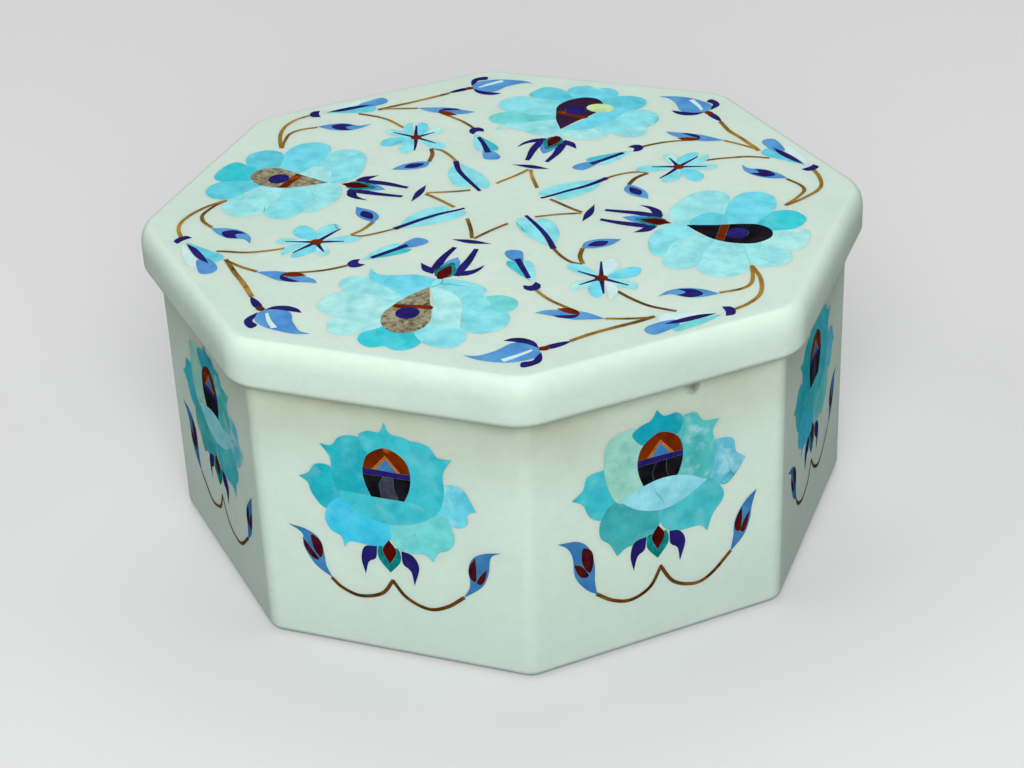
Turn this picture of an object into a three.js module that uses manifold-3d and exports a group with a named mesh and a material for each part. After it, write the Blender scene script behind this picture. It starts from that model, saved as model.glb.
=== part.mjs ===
// Octagonal marble jewelry box with a lift-off lid and flush stone inlay, in millimetres, +Z up.
// The origin is the middle of the underside. Flats face +-X and +-Y, and panel 1 faces -Y.
import * as THREE from "three";
import Module from "manifold-3d";
import { mergeVertices } from "three/addons/utils/BufferGeometryUtils.js";

// Lid: a round-edged slab, with a step below it that drops into the box
const LID_WIDTH = 127;
const LID_THICKNESS = 9.3;
const LID_CORNER_ROUND = 6.5;
const LID_TOP_ROUND = 3.8;
const LID_UNDER_ROUND = 2.9;
const LID_SEAT_GAP = 0.3;
const STEP_DEPTH = 3;
const STEP_CLEARANCE = 1;

// Box: eight flat panels round a hollow
const BOX_WIDTH = 120.6;
const BOX_HEIGHT = 52;
const BOX_CORNER_ROUND = 4;
const BOX_FOOT_ROUND = 1.5;
const WALL = 8;
const FLOOR = 8;

// Inlay: each stone lies flush in a pocket, bedded in cement on all sides
const STONE_THICKNESS = 1.6;
const CEMENT = 0.3;
const STEM_WIDTH = 0.8;

// Flower on each side panel: height of its middle, its size and its eye
const SIDE_FLOWER_HEIGHT = 35;
const SIDE_FLOWER = { petals: 7, halfWidth: 16.2, halfLength: 13.2, notch: 0.22 };
const SIDE_EYE_WIDTH = 8.8;
const SIDE_EYE_LENGTH = 10.2;
const SIDE_EYE_RISE = 3.1;

// Spray under each side flower, hung from the flower's middle: its stems leave the calyx and end
// in two leaves
const SIDE_CALYX = { topDrop: 9.5, bottomDrop: 19.4, width: 4.4 };
const SIDE_LEAF = { baseOut: 12.4, baseDrop: 20.4, tipOut: 19.4, tipDrop: 10, width: 3.5 };
const SIDE_STEM_DROP = 23.6;

// Lid pattern: it keeps its proportions, and ends this far from the lid's edge
const LID_MARGIN = 5.1;

// Four large flowers on the lid, their eyes pointing to the middle
const LID_FLOWER_OUT = 44.8;
const LID_FLOWER = { petals: 8, halfWidth: 17, halfLength: 13.6, notch: 0.2 };
const LID_EYE = { tip: 36.5, end: 52.5, width: 8.8 };
const LID_CALYX = { tip: 20.5, end: 34.5, width: 5.2 };

// Small flowers in each quarter of the lid, placed from its middle
const STAR_PLACE = { x: 27.2, y: 24.2 };
const STAR_FLOWER = { petals: 6, halfWidth: 7, halfLength: 7.2, notch: 0.42 };
const BUD_BASE = { x: 15.3, y: 28.6 };
const BUD_TIP = { x: 8.2, y: 19 };
const BUD_WIDTH = 5.4;
const TULIP_BASE = { x: 28.6, y: 48.4 };
const TULIP_TIP = { x: 15.2, y: 56.9 };
const TULIP_WIDTH = 6.4;

// How finely round stretches are cut into flats
const CORNER_STEPS = 2;
const EDGE_STEPS = 3;
const PETAL_STEPS = 4;
const EYE_STEPS = 10;
const LEAF_STEPS = 4;
const STEM_STEPS = 4;
const SHARPEST_MITRE = 0.5;

const SIDES = 8;
const FLOWERS_ON_LID = 4;
const TURN = Math.PI * 2;
const FRONT = new THREE.Vector2(0, -1);
const QUARTERS = [[1, -1], [1, 1], [-1, 1], [-1, -1]];

const MARBLE = { color: 0xdfe8e0, roughness: 0.32 };
const TURQUOISE = { color: 0x62cdd6, roughness: 0.3 };
const LAPIS = { color: 0x2a3a8c, roughness: 0.3 };
const ONYX = { color: 0x2c2a28, roughness: 0.25 };
const CARNELIAN = { color: 0x7d3410, roughness: 0.28 };

const wasm = await Module();
wasm.setup();

// The bare, merged mesh of a geometry as a solid that can be cut and joined
function solid(geometry) {
  const bare = geometry.clone();
  bare.deleteAttribute("normal");
  bare.deleteAttribute("uv");
  const merged = mergeVertices(bare, 1e-5);
  return new wasm.Manifold(new wasm.Mesh({
    numProp: 3,
    vertProperties: new Float32Array(merged.attributes.position.array),
    triVerts: new Uint32Array(merged.index.array),
  }));
}

function geometryOf(manifold) {
  const { numProp, vertProperties, triVerts } = manifold.getMesh();
  const geometry = new THREE.BufferGeometry();
  const places = new THREE.InterleavedBuffer(vertProperties, numProp);
  geometry.setAttribute("position", new THREE.InterleavedBufferAttribute(places, 3, 0));
  geometry.setIndex(new THREE.BufferAttribute(triVerts, 1));
  const flat = geometry.toNonIndexed();
  flat.computeVertexNormals();
  return flat;
}

// A regular octagon, measured across its flats, with rounded corners
function octagon(width, cornerRound) {
  const shape = new THREE.Shape();
  const cornerReach = (width / 2 - cornerRound) / Math.cos(TURN / SIDES / 2);
  for (let i = 0; i < SIDES; i += 1) {
    const middle = TURN * (i + 0.5) / SIDES;
    const x = cornerReach * Math.cos(middle);
    const y = cornerReach * Math.sin(middle);
    shape.absarc(x, y, cornerRound, middle - TURN / SIDES / 2, middle + TURN / SIDES / 2);
  }
  return shape;
}

// An octagonal block from one height to another, its edges rounded at both ends
function block(width, cornerRound, bottom, top, edgeRound) {
  const geometry = new THREE.ExtrudeGeometry(octagon(width, cornerRound), {
    depth: top - bottom - 2 * edgeRound,
    curveSegments: CORNER_STEPS,
    bevelEnabled: edgeRound > 0,
    bevelThickness: edgeRound,
    bevelSize: edgeRound,
    bevelOffset: -edgeRound,
    bevelSegments: EDGE_STEPS,
  });
  geometry.translate(0, 0, bottom + edgeRound);
  return solid(geometry);
}

// A block whose lower and upper edges differ: two longer blocks hold only what they share
function slab(width, cornerRound, bottom, top, lowerRound, upperRound) {
  const spare = width;
  const roundBelow = block(width, cornerRound, bottom, top + spare, lowerRound);
  const roundAbove = block(width, cornerRound, bottom - spare, top, upperRound);
  return roundBelow.intersect(roundAbove);
}

// A closed outline moved outward by a distance, or inward where it is negative
function moved(outline, distance) {
  const sense = Math.sign(THREE.ShapeUtils.area(outline));
  return outline.map((point, i) => {
    const incoming = point.clone().sub(outline.at(i - 1)).normalize();
    const outgoing = outline[(i + 1) % outline.length].clone().sub(point).normalize();
    const across = incoming.add(outgoing);
    const outward = new THREE.Vector2(across.y, -across.x);
    const reach = 2 * distance * sense / Math.max(outward.lengthSq(), SHARPEST_MITRE);
    return point.clone().addScaledVector(outward, reach);
  });
}

// A ring of petals round a middle, each a rounded lobe between two notches
function petalRing(middle, { petals, halfWidth, halfLength, notch }) {
  const steps = petals * PETAL_STEPS;
  return Array.from({ length: steps }, (_, i) => {
    const angle = TURN * i / steps - TURN / 4;
    const across = (i % PETAL_STEPS) / PETAL_STEPS;
    const reach = 1 - notch * (1 - Math.sin(Math.PI * across));
    const x = middle.x + halfWidth * reach * Math.cos(angle);
    const y = middle.y + halfLength * reach * Math.sin(angle);
    return new THREE.Vector2(x, y);
  });
}

// A drop with its sharp tip at one point and its round end at another
function drop(tip, end, width) {
  const middle = tip.clone().add(end).multiplyScalar(0.5);
  const along = tip.clone().sub(middle);
  const across = new THREE.Vector2(-along.y, along.x).setLength(width / 2);
  return Array.from({ length: EYE_STEPS }, (_, i) => {
    const angle = TURN * i / EYE_STEPS;
    const swell = Math.sin(angle) * Math.sqrt(Math.sin(angle / 2));
    return middle.clone().addScaledVector(along, Math.cos(angle)).addScaledVector(across, swell);
  });
}

// A leaf or bud between two points, two bowed sides meeting in two tips
function leaf(base, tip, width) {
  const along = tip.clone().sub(base);
  const across = new THREE.Vector2(-along.y, along.x).setLength(width / 2);
  return Array.from({ length: 2 * LEAF_STEPS }, (_, i) => {
    const angle = Math.PI * i / LEAF_STEPS;
    const along01 = (1 - Math.cos(angle)) / 2;
    return base.clone().addScaledVector(along, along01).addScaledVector(across, Math.sin(angle));
  });
}

// A stem of even width along a curve
function stem(curve) {
  const left = [];
  const right = [];
  for (let i = 0; i <= STEM_STEPS; i += 1) {
    const place = curve.getPoint(i / STEM_STEPS);
    const tangent = curve.getTangent(i / STEM_STEPS);
    const across = new THREE.Vector2(-tangent.y, tangent.x).multiplyScalar(STEM_WIDTH / 2);
    left.push(place.clone().add(across));
    right.unshift(place.clone().sub(across));
  }
  return left.concat(right);
}

// Stones and pockets are drawn with their polished face at height 0 and their depth below it
function prism(outline, depth, rise) {
  const shape = new THREE.Shape(outline);
  const geometry = new THREE.ExtrudeGeometry(shape, { depth: depth + rise, bevelEnabled: false });
  geometry.translate(0, 0, -depth);
  return solid(geometry);
}

function stoneOf(outlines) {
  return outlines.map((outline) => prism(outline, STONE_THICKNESS, 0)).reduce((a, b) => a.add(b));
}

function pocketOf(outlines) {
  const pockets = outlines.map((outline) => {
    return prism(moved(outline, CEMENT), STONE_THICKNESS + CEMENT, CEMENT);
  });
  return pockets.reduce((a, b) => a.add(b));
}

// A side panel's motifs, x across the panel and y up from the underside
function sideMotifs() {
  const middle = new THREE.Vector2(0, SIDE_FLOWER_HEIGHT);
  const eyeMiddle = SIDE_FLOWER_HEIGHT + SIDE_EYE_RISE;
  const eyeEnd = new THREE.Vector2(0, eyeMiddle + SIDE_EYE_LENGTH / 2);
  const eyeTip = new THREE.Vector2(0, eyeMiddle - SIDE_EYE_LENGTH / 2);
  const below = (out, drop) => new THREE.Vector2(out, SIDE_FLOWER_HEIGHT - drop);
  const calyxTop = below(0, SIDE_CALYX.topDrop);
  const calyxBottom = below(0, SIDE_CALYX.bottomDrop);
  const spray = [leaf(calyxBottom, calyxTop, SIDE_CALYX.width)];
  for (const side of [-1, 1]) {
    const base = below(side * SIDE_LEAF.baseOut, SIDE_LEAF.baseDrop);
    const tip = below(side * SIDE_LEAF.tipOut, SIDE_LEAF.tipDrop);
    const dip = below(side * SIDE_LEAF.baseOut / 2, SIDE_STEM_DROP);
    const foot = calyxBottom.clone().lerp(calyxTop, 0.1);
    const bow = new THREE.SplineCurve([foot, dip, base.clone().lerp(tip, 0.1)]);
    spray.push(stem(bow), leaf(base, tip, SIDE_LEAF.width));
  }
  return {
    flower: [petalRing(middle, SIDE_FLOWER)],
    flower_eye: [drop(eyeTip, eyeEnd, SIDE_EYE_WIDTH)],
    spray,
  };
}

// A large flower of the lid, drawn on the side that faces -Y
function largeFlowerMotifs() {
  const middle = FRONT.clone().multiplyScalar(LID_FLOWER_OUT);
  const eyeTip = FRONT.clone().multiplyScalar(LID_EYE.tip);
  const eyeEnd = FRONT.clone().multiplyScalar(LID_EYE.end);
  const calyxTip = FRONT.clone().multiplyScalar(LID_CALYX.tip);
  const calyxEnd = FRONT.clone().multiplyScalar(LID_CALYX.end);
  return {
    flower: [petalRing(middle, LID_FLOWER)],
    flower_eye: [drop(eyeTip, eyeEnd, LID_EYE.width)],
    calyx: [leaf(calyxTip, calyxEnd, LID_CALYX.width)],
  };
}

// The small flowers in one quarter of the lid, mirrored into it
function quarterMotifs(signX, signY) {
  const at = ({ x, y }) => new THREE.Vector2(signX * x, signY * y);
  return {
    star_flower: [petalRing(at(STAR_PLACE), STAR_FLOWER)],
    bud: [leaf(at(BUD_BASE), at(BUD_TIP), BUD_WIDTH)],
    tulip: [leaf(at(TULIP_BASE), at(TULIP_TIP), TULIP_WIDTH)],
  };
}

// Motifs made larger or smaller about the middle of their drawing
function scaled(motifs, scale) {
  const resized = (outline) => outline.map((point) => point.clone().multiplyScalar(scale));
  const entries = Object.entries(motifs);
  return Object.fromEntries(entries.map(([name, outlines]) => [name, outlines.map(resized)]));
}

// The motifs as flush stones. A flower leaves room for its eye, and what is beside it leaves
// room for the flower.
function stones(motifs) {
  const { flower, flower_eye: eye, ...others } = motifs;
  const pieces = {};
  if (flower) {
    pieces.flower = stoneOf(flower).subtract(pocketOf(eye));
    pieces.flower_eye = stoneOf(eye);
  }
  for (const [name, outlines] of Object.entries(others)) {
    const stone = stoneOf(outlines);
    pieces[name] = flower ? stone.subtract(pocketOf(flower)) : stone;
  }
  return pieces;
}

// One bed for all the motifs, deeper than the stones by the cement
function beds(motifs) {
  return Object.values(motifs).map(pocketOf).reduce((a, b) => a.add(b));
}

const FINISHES = {
  flower: TURQUOISE,
  flower_eye: ONYX,
  spray: LAPIS,
  calyx: CARNELIAN,
  star_flower: TURQUOISE,
  bud: TURQUOISE,
  tulip: LAPIS,
};

function mesh(name, manifold, finish) {
  const material = new THREE.MeshStandardMaterial({ ...finish, metalness: 0 });
  const piece = new THREE.Mesh(geometryOf(manifold), material);
  piece.name = name;
  return piece;
}

function addStones(group, prefix, number, motifs) {
  for (const [name, stone] of Object.entries(stones(motifs))) {
    group.add(mesh(`${prefix}_${name}_${number}`, stone, FINISHES[name]));
  }
}

// Stands a group drawn flat against side panel i, counted anticlockwise from the one facing -Y
function placeOnPanel(group, i) {
  const turned = new THREE.Group();
  turned.rotation.z = TURN * i / SIDES;
  group.position.set(0, -BOX_WIDTH / 2, 0);
  group.rotation.x = TURN / 4;
  turned.add(group);
  turned.updateMatrixWorld(true);
  return turned;
}

function placedSolid(manifold, object) {
  return solid(geometryOf(manifold).applyMatrix4(object.matrixWorld));
}

const jewelryBox = new THREE.Group();
const cavityWidth = BOX_WIDTH - 2 * WALL;
const cavityRound = Math.max(BOX_CORNER_ROUND, WALL / 2);

// Box: a solid octagon with a soft foot and a square rim, hollowed, with the beds for the side
// inlay cut into its panels
const squareRim = 0;
let box = slab(BOX_WIDTH, BOX_CORNER_ROUND, 0, BOX_HEIGHT, BOX_FOOT_ROUND, squareRim);
box = box.subtract(block(cavityWidth, cavityRound, FLOOR, BOX_HEIGHT + WALL, 0));
const sideBed = beds(sideMotifs());
for (let i = 0; i < SIDES; i += 1) {
  const inlay = new THREE.Group();
  const panel = placeOnPanel(inlay, i);
  box = box.subtract(placedSolid(sideBed, inlay));
  addStones(inlay, "side", i + 1, sideMotifs());
  jewelryBox.add(panel);
}
jewelryBox.add(mesh("box", box, MARBLE));

// Lid: the slab and its locating step, with the beds for the top inlay
const lidBottom = BOX_HEIGHT + LID_SEAT_GAP;
const lidTop = lidBottom + LID_THICKNESS;
const stepWidth = cavityWidth - 2 * STEP_CLEARANCE;
const stepRound = cavityRound - STEP_CLEARANCE / 2;
let lid = slab(LID_WIDTH, LID_CORNER_ROUND, lidBottom, lidTop, LID_UNDER_ROUND, LID_TOP_ROUND);
lid = lid.add(block(stepWidth, stepRound, lidBottom - STEP_DEPTH, lidBottom + LID_THICKNESS / 2, 0));
const patternReach = LID_FLOWER_OUT + LID_FLOWER.halfLength;
const patternScale = (LID_WIDTH / 2 - LID_MARGIN) / patternReach;
const largeFlower = scaled(largeFlowerMotifs(), patternScale);
const flowerBed = beds(largeFlower);
for (let i = 0; i < FLOWERS_ON_LID; i += 1) {
  const inlay = new THREE.Group();
  inlay.position.z = lidTop;
  inlay.rotation.z = TURN * i / FLOWERS_ON_LID;
  inlay.updateMatrixWorld(true);
  lid = lid.subtract(placedSolid(flowerBed, inlay));
  addStones(inlay, "lid", i + 1, largeFlower);
  jewelryBox.add(inlay);
}
QUARTERS.forEach(([signX, signY], i) => {
  const inlay = new THREE.Group();
  inlay.position.z = lidTop;
  inlay.updateMatrixWorld(true);
  const motifs = scaled(quarterMotifs(signX, signY), patternScale);
  lid = lid.subtract(placedSolid(beds(motifs), inlay));
  addStones(inlay, "lid", i + 1, motifs);
  jewelryBox.add(inlay);
});
jewelryBox.add(mesh("lid", lid, MARBLE));

export default jewelryBox;
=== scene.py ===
"""An octagonal white marble jewelry box with a lift-off lid, its lid and sides inlaid with flowers.

Every stone of the inlay is its own closed solid. It is sunk flush into a pocket of the marble, and
thin cement joints run round it. Drawings are in millimetres, and meshes are in metres.
"""

import math
from collections import defaultdict, namedtuple
from functools import cache

import bmesh
import bpy
from bpy.props import FloatProperty, FloatVectorProperty, PointerProperty
from mathutils import Matrix, Vector, noise
from mathutils.geometry import delaunay_2d_cdt


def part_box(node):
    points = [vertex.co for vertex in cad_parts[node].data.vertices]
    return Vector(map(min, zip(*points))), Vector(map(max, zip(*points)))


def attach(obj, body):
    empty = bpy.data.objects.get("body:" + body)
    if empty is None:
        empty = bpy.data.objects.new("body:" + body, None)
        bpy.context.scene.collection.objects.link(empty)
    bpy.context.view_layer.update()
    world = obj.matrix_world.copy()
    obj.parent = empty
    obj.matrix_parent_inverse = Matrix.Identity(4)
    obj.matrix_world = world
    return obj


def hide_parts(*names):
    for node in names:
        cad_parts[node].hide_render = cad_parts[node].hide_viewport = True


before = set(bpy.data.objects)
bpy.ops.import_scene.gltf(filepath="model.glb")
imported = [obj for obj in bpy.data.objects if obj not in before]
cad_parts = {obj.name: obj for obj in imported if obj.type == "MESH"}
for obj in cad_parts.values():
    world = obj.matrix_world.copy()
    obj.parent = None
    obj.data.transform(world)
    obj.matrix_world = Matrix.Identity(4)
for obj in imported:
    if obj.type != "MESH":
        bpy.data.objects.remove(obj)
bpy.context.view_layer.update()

bl_info = {
    "name": "Inlaid Marble Box",
    "version": (1, 0, 0),
    "blender": (4, 5, 0),
    "location": "3D View > Sidebar > Marble Box",
    "description": "Builds a marble jewelry box with flush stone inlay",
    "category": "Object",
}

MM = 0.001
SIDES = 8
TURN = 2 * math.pi
TIP = True
SPACING = 0.55
CREASE = math.cos(math.radians(35))
BOX_LOW, BOX_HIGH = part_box("box")
LID_LOW, LID_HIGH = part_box("lid")
BOX_WIDTH = (BOX_HIGH.x - BOX_LOW.x) / MM
BOX_TOP = BOX_HIGH.z / MM
LID_WIDTH = (LID_HIGH.x - LID_LOW.x) / MM
LID_TOP = LID_HIGH.z / MM

# Where the photograph was taken from: the angles are in degrees and the lengths in millimetres
CAMERA_AZIMUTH = 20.92
CAMERA_ELEVATION = 29.74
CAMERA_ROLL = -2.47
CAMERA_DISTANCE = 436.5
CAMERA_TARGET = (0.32, 0.13, 22.54)
CAMERA_LENS = 78.4


def linear(code):
    """An sRGB hex colour as linear red, green and blue."""
    parts = [int(code[i : i + 2], 16) / 255 for i in (1, 3, 5)]
    return tuple(c / 12.92 if c <= 0.04045 else ((c + 0.055) / 1.055) ** 2.4 for c in parts)


# Sizes and colours that can be changed in the sidebar


def length(name, description, millimetres):
    """A length shown in scene units."""
    return FloatProperty(
        name=name, description=description, default=millimetres * MM, unit="LENGTH", precision=5
    )


def colour(name, description, code):
    """A colour with its default from an sRGB hex value."""
    return FloatVectorProperty(
        name=name, description=description, default=linear(code), subtype="COLOR", min=0, max=1
    )


class MarbleBoxSizes(bpy.types.PropertyGroup):
    lid_top_round: length("Lid top round", "Height of the lid's rounded upper edge", 4.2)
    lid_top_inset: length("Lid top inset", "Width of the lid's rounded upper edge", 2.4)
    lid_under_round: length("Lid under round", "Height of the lid's rounded lower edge", 1.5)
    lid_under_inset: length("Lid under inset", "Width of the lid's rounded lower edge", 1.2)
    lid_corner_round: length("Lid corner round", "Radius of the lid's corners in plan", 9.5)
    lid_thickness: length("Lid thickness", "Thickness of the slab without its step", 9.3)
    lid_wave: length("Lid wave", "How far the hand-ground lid edge wanders", 0.55)
    step_depth: length("Step depth", "How far the lid drops into the box", 3.0)
    step_bevel: length("Step bevel", "Bevel at the lower edge of the lid's step", 0.5)
    step_clearance: length("Step clearance", "Play between step and cavity", 1.0)
    corner_round: length("Corner round", "Radius of the box's upright corners in plan", 4.0)
    foot_round: length("Foot round", "Radius of the lower edge", 1.5)
    rim_round: length("Rim round", "Radius of the rim's edges", 0.6)
    wall: length("Wall", "Thickness of the sides", 8.0)
    floor: length("Floor", "Thickness of the floor", 8.0)
    floor_fillet: length("Floor fillet", "Radius where walls and floor meet", 2.5)
    joint: length("Joint", "Width of the cement joints", 0.08)
    joint_depth: length("Joint depth", "How far cement lies below the polish", 0.03)
    stone_depth: length("Stone depth", "Thickness of the inlaid stones", 1.6)


class MarbleBoxColours(bpy.types.PropertyGroup):
    marble: colour("Marble", "White marble", "#D6EBDC")
    marble_cloud: colour("Marble clouds", "Greyer clouds in the marble", "#C2D8CD")
    cement: colour("Cement", "Joints between the stones", "#92AAA4")
    lapis: colour("Lapis", "Deep violet blue stone", "#201B5C")
    leaf_blue: colour("Leaf blue", "Mid blue stone of the side leaves", "#4486B6")
    tulip_blue: colour("Tulip blue", "Lighter blue stone of the lid's leaves and tulips", "#62A6DC")
    carnelian: colour("Carnelian", "Red-brown stone", "#7C3002")
    malachite: colour("Malachite", "Green stone of the calyx", "#0E6C62")
    tiger_eye: colour("Tiger's eye", "Brown stone of the stems", "#66451A")
    # The gold bands are partly the stone's own colour and partly painted sheen of its silky fibres
    tiger_gold: colour("Gold band", "Golden bands in the stems", "#C09636")
    onyx: colour("Onyx", "Black stone of the eyes", "#0E0D12")
    shell: colour("Shell", "White mother of pearl", "#DDF3EE")
    floor: colour("Backdrop", "Pale floor under the box", "#E5E5E5")


# The turquoise stones are sorted by shade, as the cutter does
TURQUOISE_SHADES = {
    "milk": "#BBF6F2",
    "pale": "#AAF2F4",
    "light": "#98EFF6",
    "sky": "#7CE6F8",
    "lagoon": "#6CDAEA",
    "bright": "#40D6E2",
    # dark is turquoise darkened as painted shade, for a top petal that lies under the lid's overhang
    "dark": "#1EACC0",
    "deep": "#2ABECB",
    "medium": "#44CBD7",
    "azure": "#46D2F3",
    "aqua": "#4CC6CE",
    "teal": "#46B8BA",
    "mint": "#7CE2E0",
    "pale_mint": "#A4DECA",
    "glaze": "#A0EAF5",
    "lime": "#D8F0A8",
}
CRACKLED_SHADES = {"frost": "#70CCE0", "crackled_azure": "#6EDAEC", "crackled_aqua": "#5AC6C4"}

Stone = namedtuple("Stone", "piece finish outline")


# Drawing


def between(start, leave, end, arrive, t):
    """The place at t, from 0 to 1, on a curve that leaves and arrives with those slopes."""
    return (
        start * (2 * t**3 - 3 * t**2 + 1)
        + leave * (t**3 - 2 * t**2 + t)
        + end * (3 * t**2 - 2 * t**3)
        + arrive * (t**3 - t**2)
    )


def smooth(points):
    """A closed curve through the points. A third value marks a sharp tip."""
    count = len(points)
    places = [Vector(p[:2]) for p in points]
    sharp = [len(p) > 2 for p in points]
    tangents = [(places[(i + 1) % count] - places[i - 1]) / 2 for i in range(count)]
    outline = []
    for i, start in enumerate(places):
        j = (i + 1) % count
        end = places[j]
        chord = end - start
        leave = chord if sharp[i] else tangents[i]
        arrive = chord if sharp[j] else tangents[j]
        steps = max(1, round(chord.length / SPACING))
        outline += [between(start, leave, end, arrive, k / steps) for k in range(steps)]
    return outline


def run(points):
    """An open smooth curve through the points, with its direction at each step."""
    places = [Vector(p) for p in points]
    places = [2 * places[0] - places[1], *places, 2 * places[-1] - places[-2]]
    curve = []
    for i in range(1, len(places) - 2):
        before, start, end, after = places[i - 1 : i + 3]
        leave, arrive = (end - before) / 2, (after - start) / 2
        steps = max(1, round((end - start).length / SPACING))
        last = i == len(places) - 3
        for k in range(steps + last):
            t = k / steps
            slope = (
                start * (6 * t**2 - 6 * t)
                + leave * (3 * t**2 - 4 * t + 1)
                + end * (6 * t - 6 * t**2)
                + arrive * (3 * t**2 - 2 * t)
            )
            curve.append((between(start, leave, end, arrive, t), slope.normalized()))
    return curve


def ribbon(points, width, end_width=None):
    """The outline of a stem or blade along an open curve, from one width to another."""
    end_width = width if end_width is None else end_width
    curve = run(points)
    left, right = [], []
    for i, (place, slope) in enumerate(curve):
        half = (width + (end_width - width) * i / (len(curve) - 1)) / 2
        across = Vector((-slope.y, slope.x)) * half
        left.append(place + across)
        right.append(place - across)
    return left + right[::-1]


def disc(x, y, radius_x, radius_y=None, sides=20):
    """A round or oval outline."""
    radius_y = radius_y or radius_x
    turns = [TURN * i / sides for i in range(sides)]
    return [Vector((x + radius_x * math.cos(a), y + radius_y * math.sin(a))) for a in turns]


def area(outline):
    return sum(a.cross(b) for a, b in zip(outline, outline[1:] + outline[:1])) / 2


def changed(stones, name, matrix):
    """The stones turned or mirrored, under a new piece name for each."""
    return [
        Stone(name.format(s.piece), s.finish, [matrix @ p for p in s.outline]) for s in stones
    ]


def hand_cut(stones, seed, wander):
    """Small hand-made differences between copies. Stones that share an edge keep sharing it.

    The noise is seeded, so that they come out alike on every run.
    """
    noise.seed_set(1)
    ripple = 6
    cut = []
    for stone in stones:
        outline = []
        for p in stone.outline:
            drift = noise.noise_vector(Vector((p.x / ripple, p.y / ripple, seed)))
            outline.append(p + Vector((drift.x, drift.y)) * wander)
        cut.append(Stone(stone.piece, stone.finish, outline))
    return cut


# The motifs. Later stones are cut into earlier ones.


def lid_flower_front(shades, eye_stone):
    """The large flower that lies towards -Y, with a drop for its eye."""
    petals = [
        [(0, -51.6), (3.4, -51), (5.4, -54.6), (4.5, -57.4), (2.2, -58.5), (0, -57.6, TIP), (-2.4, -58.7),
         (-5, -57.2), (-5.5, -54.4), (-3.4, -50.8)],
        [(-3.2, -50), (-3.2, -51.6), (-5.4, -54.2), (-7.6, -55.8), (-10.6, -55.9), (-12.4, -53),
         (-12.4, -50.6), (-9, -49.4), (-4.6, -48)],
        [(-4.4, -46), (-4.6, -48.9), (-9.5, -49.8), (-14, -49.8), (-17, -47), (-16.4, -43.2),
         (-13.8, -41.2), (-9, -40.6), (-4, -41.6)],
        [(-3.4, -42.4), (-9, -41.1), (-14, -41.2), (-16.5, -38.6), (-15.6, -35.6), (-12.4, -35),
         (-8, -36.6), (-2.4, -39.4)],
        [(-0.9, -36.6), (-2.8, -40), (-8.2, -37.4), (-11, -36.4), (-12.6, -34.4), (-13.4, -31.6, TIP),
         (-11.2, -33.4), (-8, -33), (-4.6, -31.8), (-0.3, -32.8)],
        [(-0.6, -32.8), (-0.2, -35.8), (4, -38.4), (8, -37.4), (9.6, -34.6), (8, -32.7), (4.4, -31.8),
         (1.6, -32)],
        [(-0.2, -36), (1.8, -40), (3, -43), (3.9, -47), (3.8, -49.8), (8, -49.8), (10.4, -48.6), (8.8, -44),
         (7.2, -40), (5, -37.2), (1.6, -35.6)],
        [(6.4, -37.2), (7.8, -41.4), (9, -45.4), (10.4, -48.6), (14, -49.2), (16.8, -46.6), (17, -43),
         (15.4, -40.4), (13, -38), (10.4, -36.2)],
        [(10.4, -36.4), (13, -35.2), (15.8, -36.2), (16.6, -38.8), (15.4, -41), (13.2, -40.8), (12, -38.6)],
        [(4, -49.2), (2.6, -51.2), (5.4, -54.6), (8.6, -55.7), (11.4, -54.8), (12.2, -51.8), (10.8, -48.7),
         (7.6, -49)],
    ]
    stones = [Stone("flower", shade, smooth(points)) for shade, points in zip(shades, petals)]
    eye = smooth([(-0.6, -35.6, TIP), (-2.8, -39.6), (-4.1, -43.4), (-4.7, -46.8), (-3.6, -50.4),
                  (-1, -52.6), (1.8, -52.4), (3.7, -50.2), (4.1, -47.4), (3, -43.8), (1.3, -40.2)])
    bar = smooth([(-4.1, -43.2, TIP), (-3.8, -44.5), (0, -43.7), (2.9, -43.2, TIP), (2.3, -42),
                  (-1.4, -42.7)])
    return stones + [
        Stone("flower_eye", eye_stone, eye),
        Stone("flower_eye", "carnelian", bar),
        Stone("flower_eye", "lapis", disc(-0.7, -45.6, 2.1, 2.2)),
    ]


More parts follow.
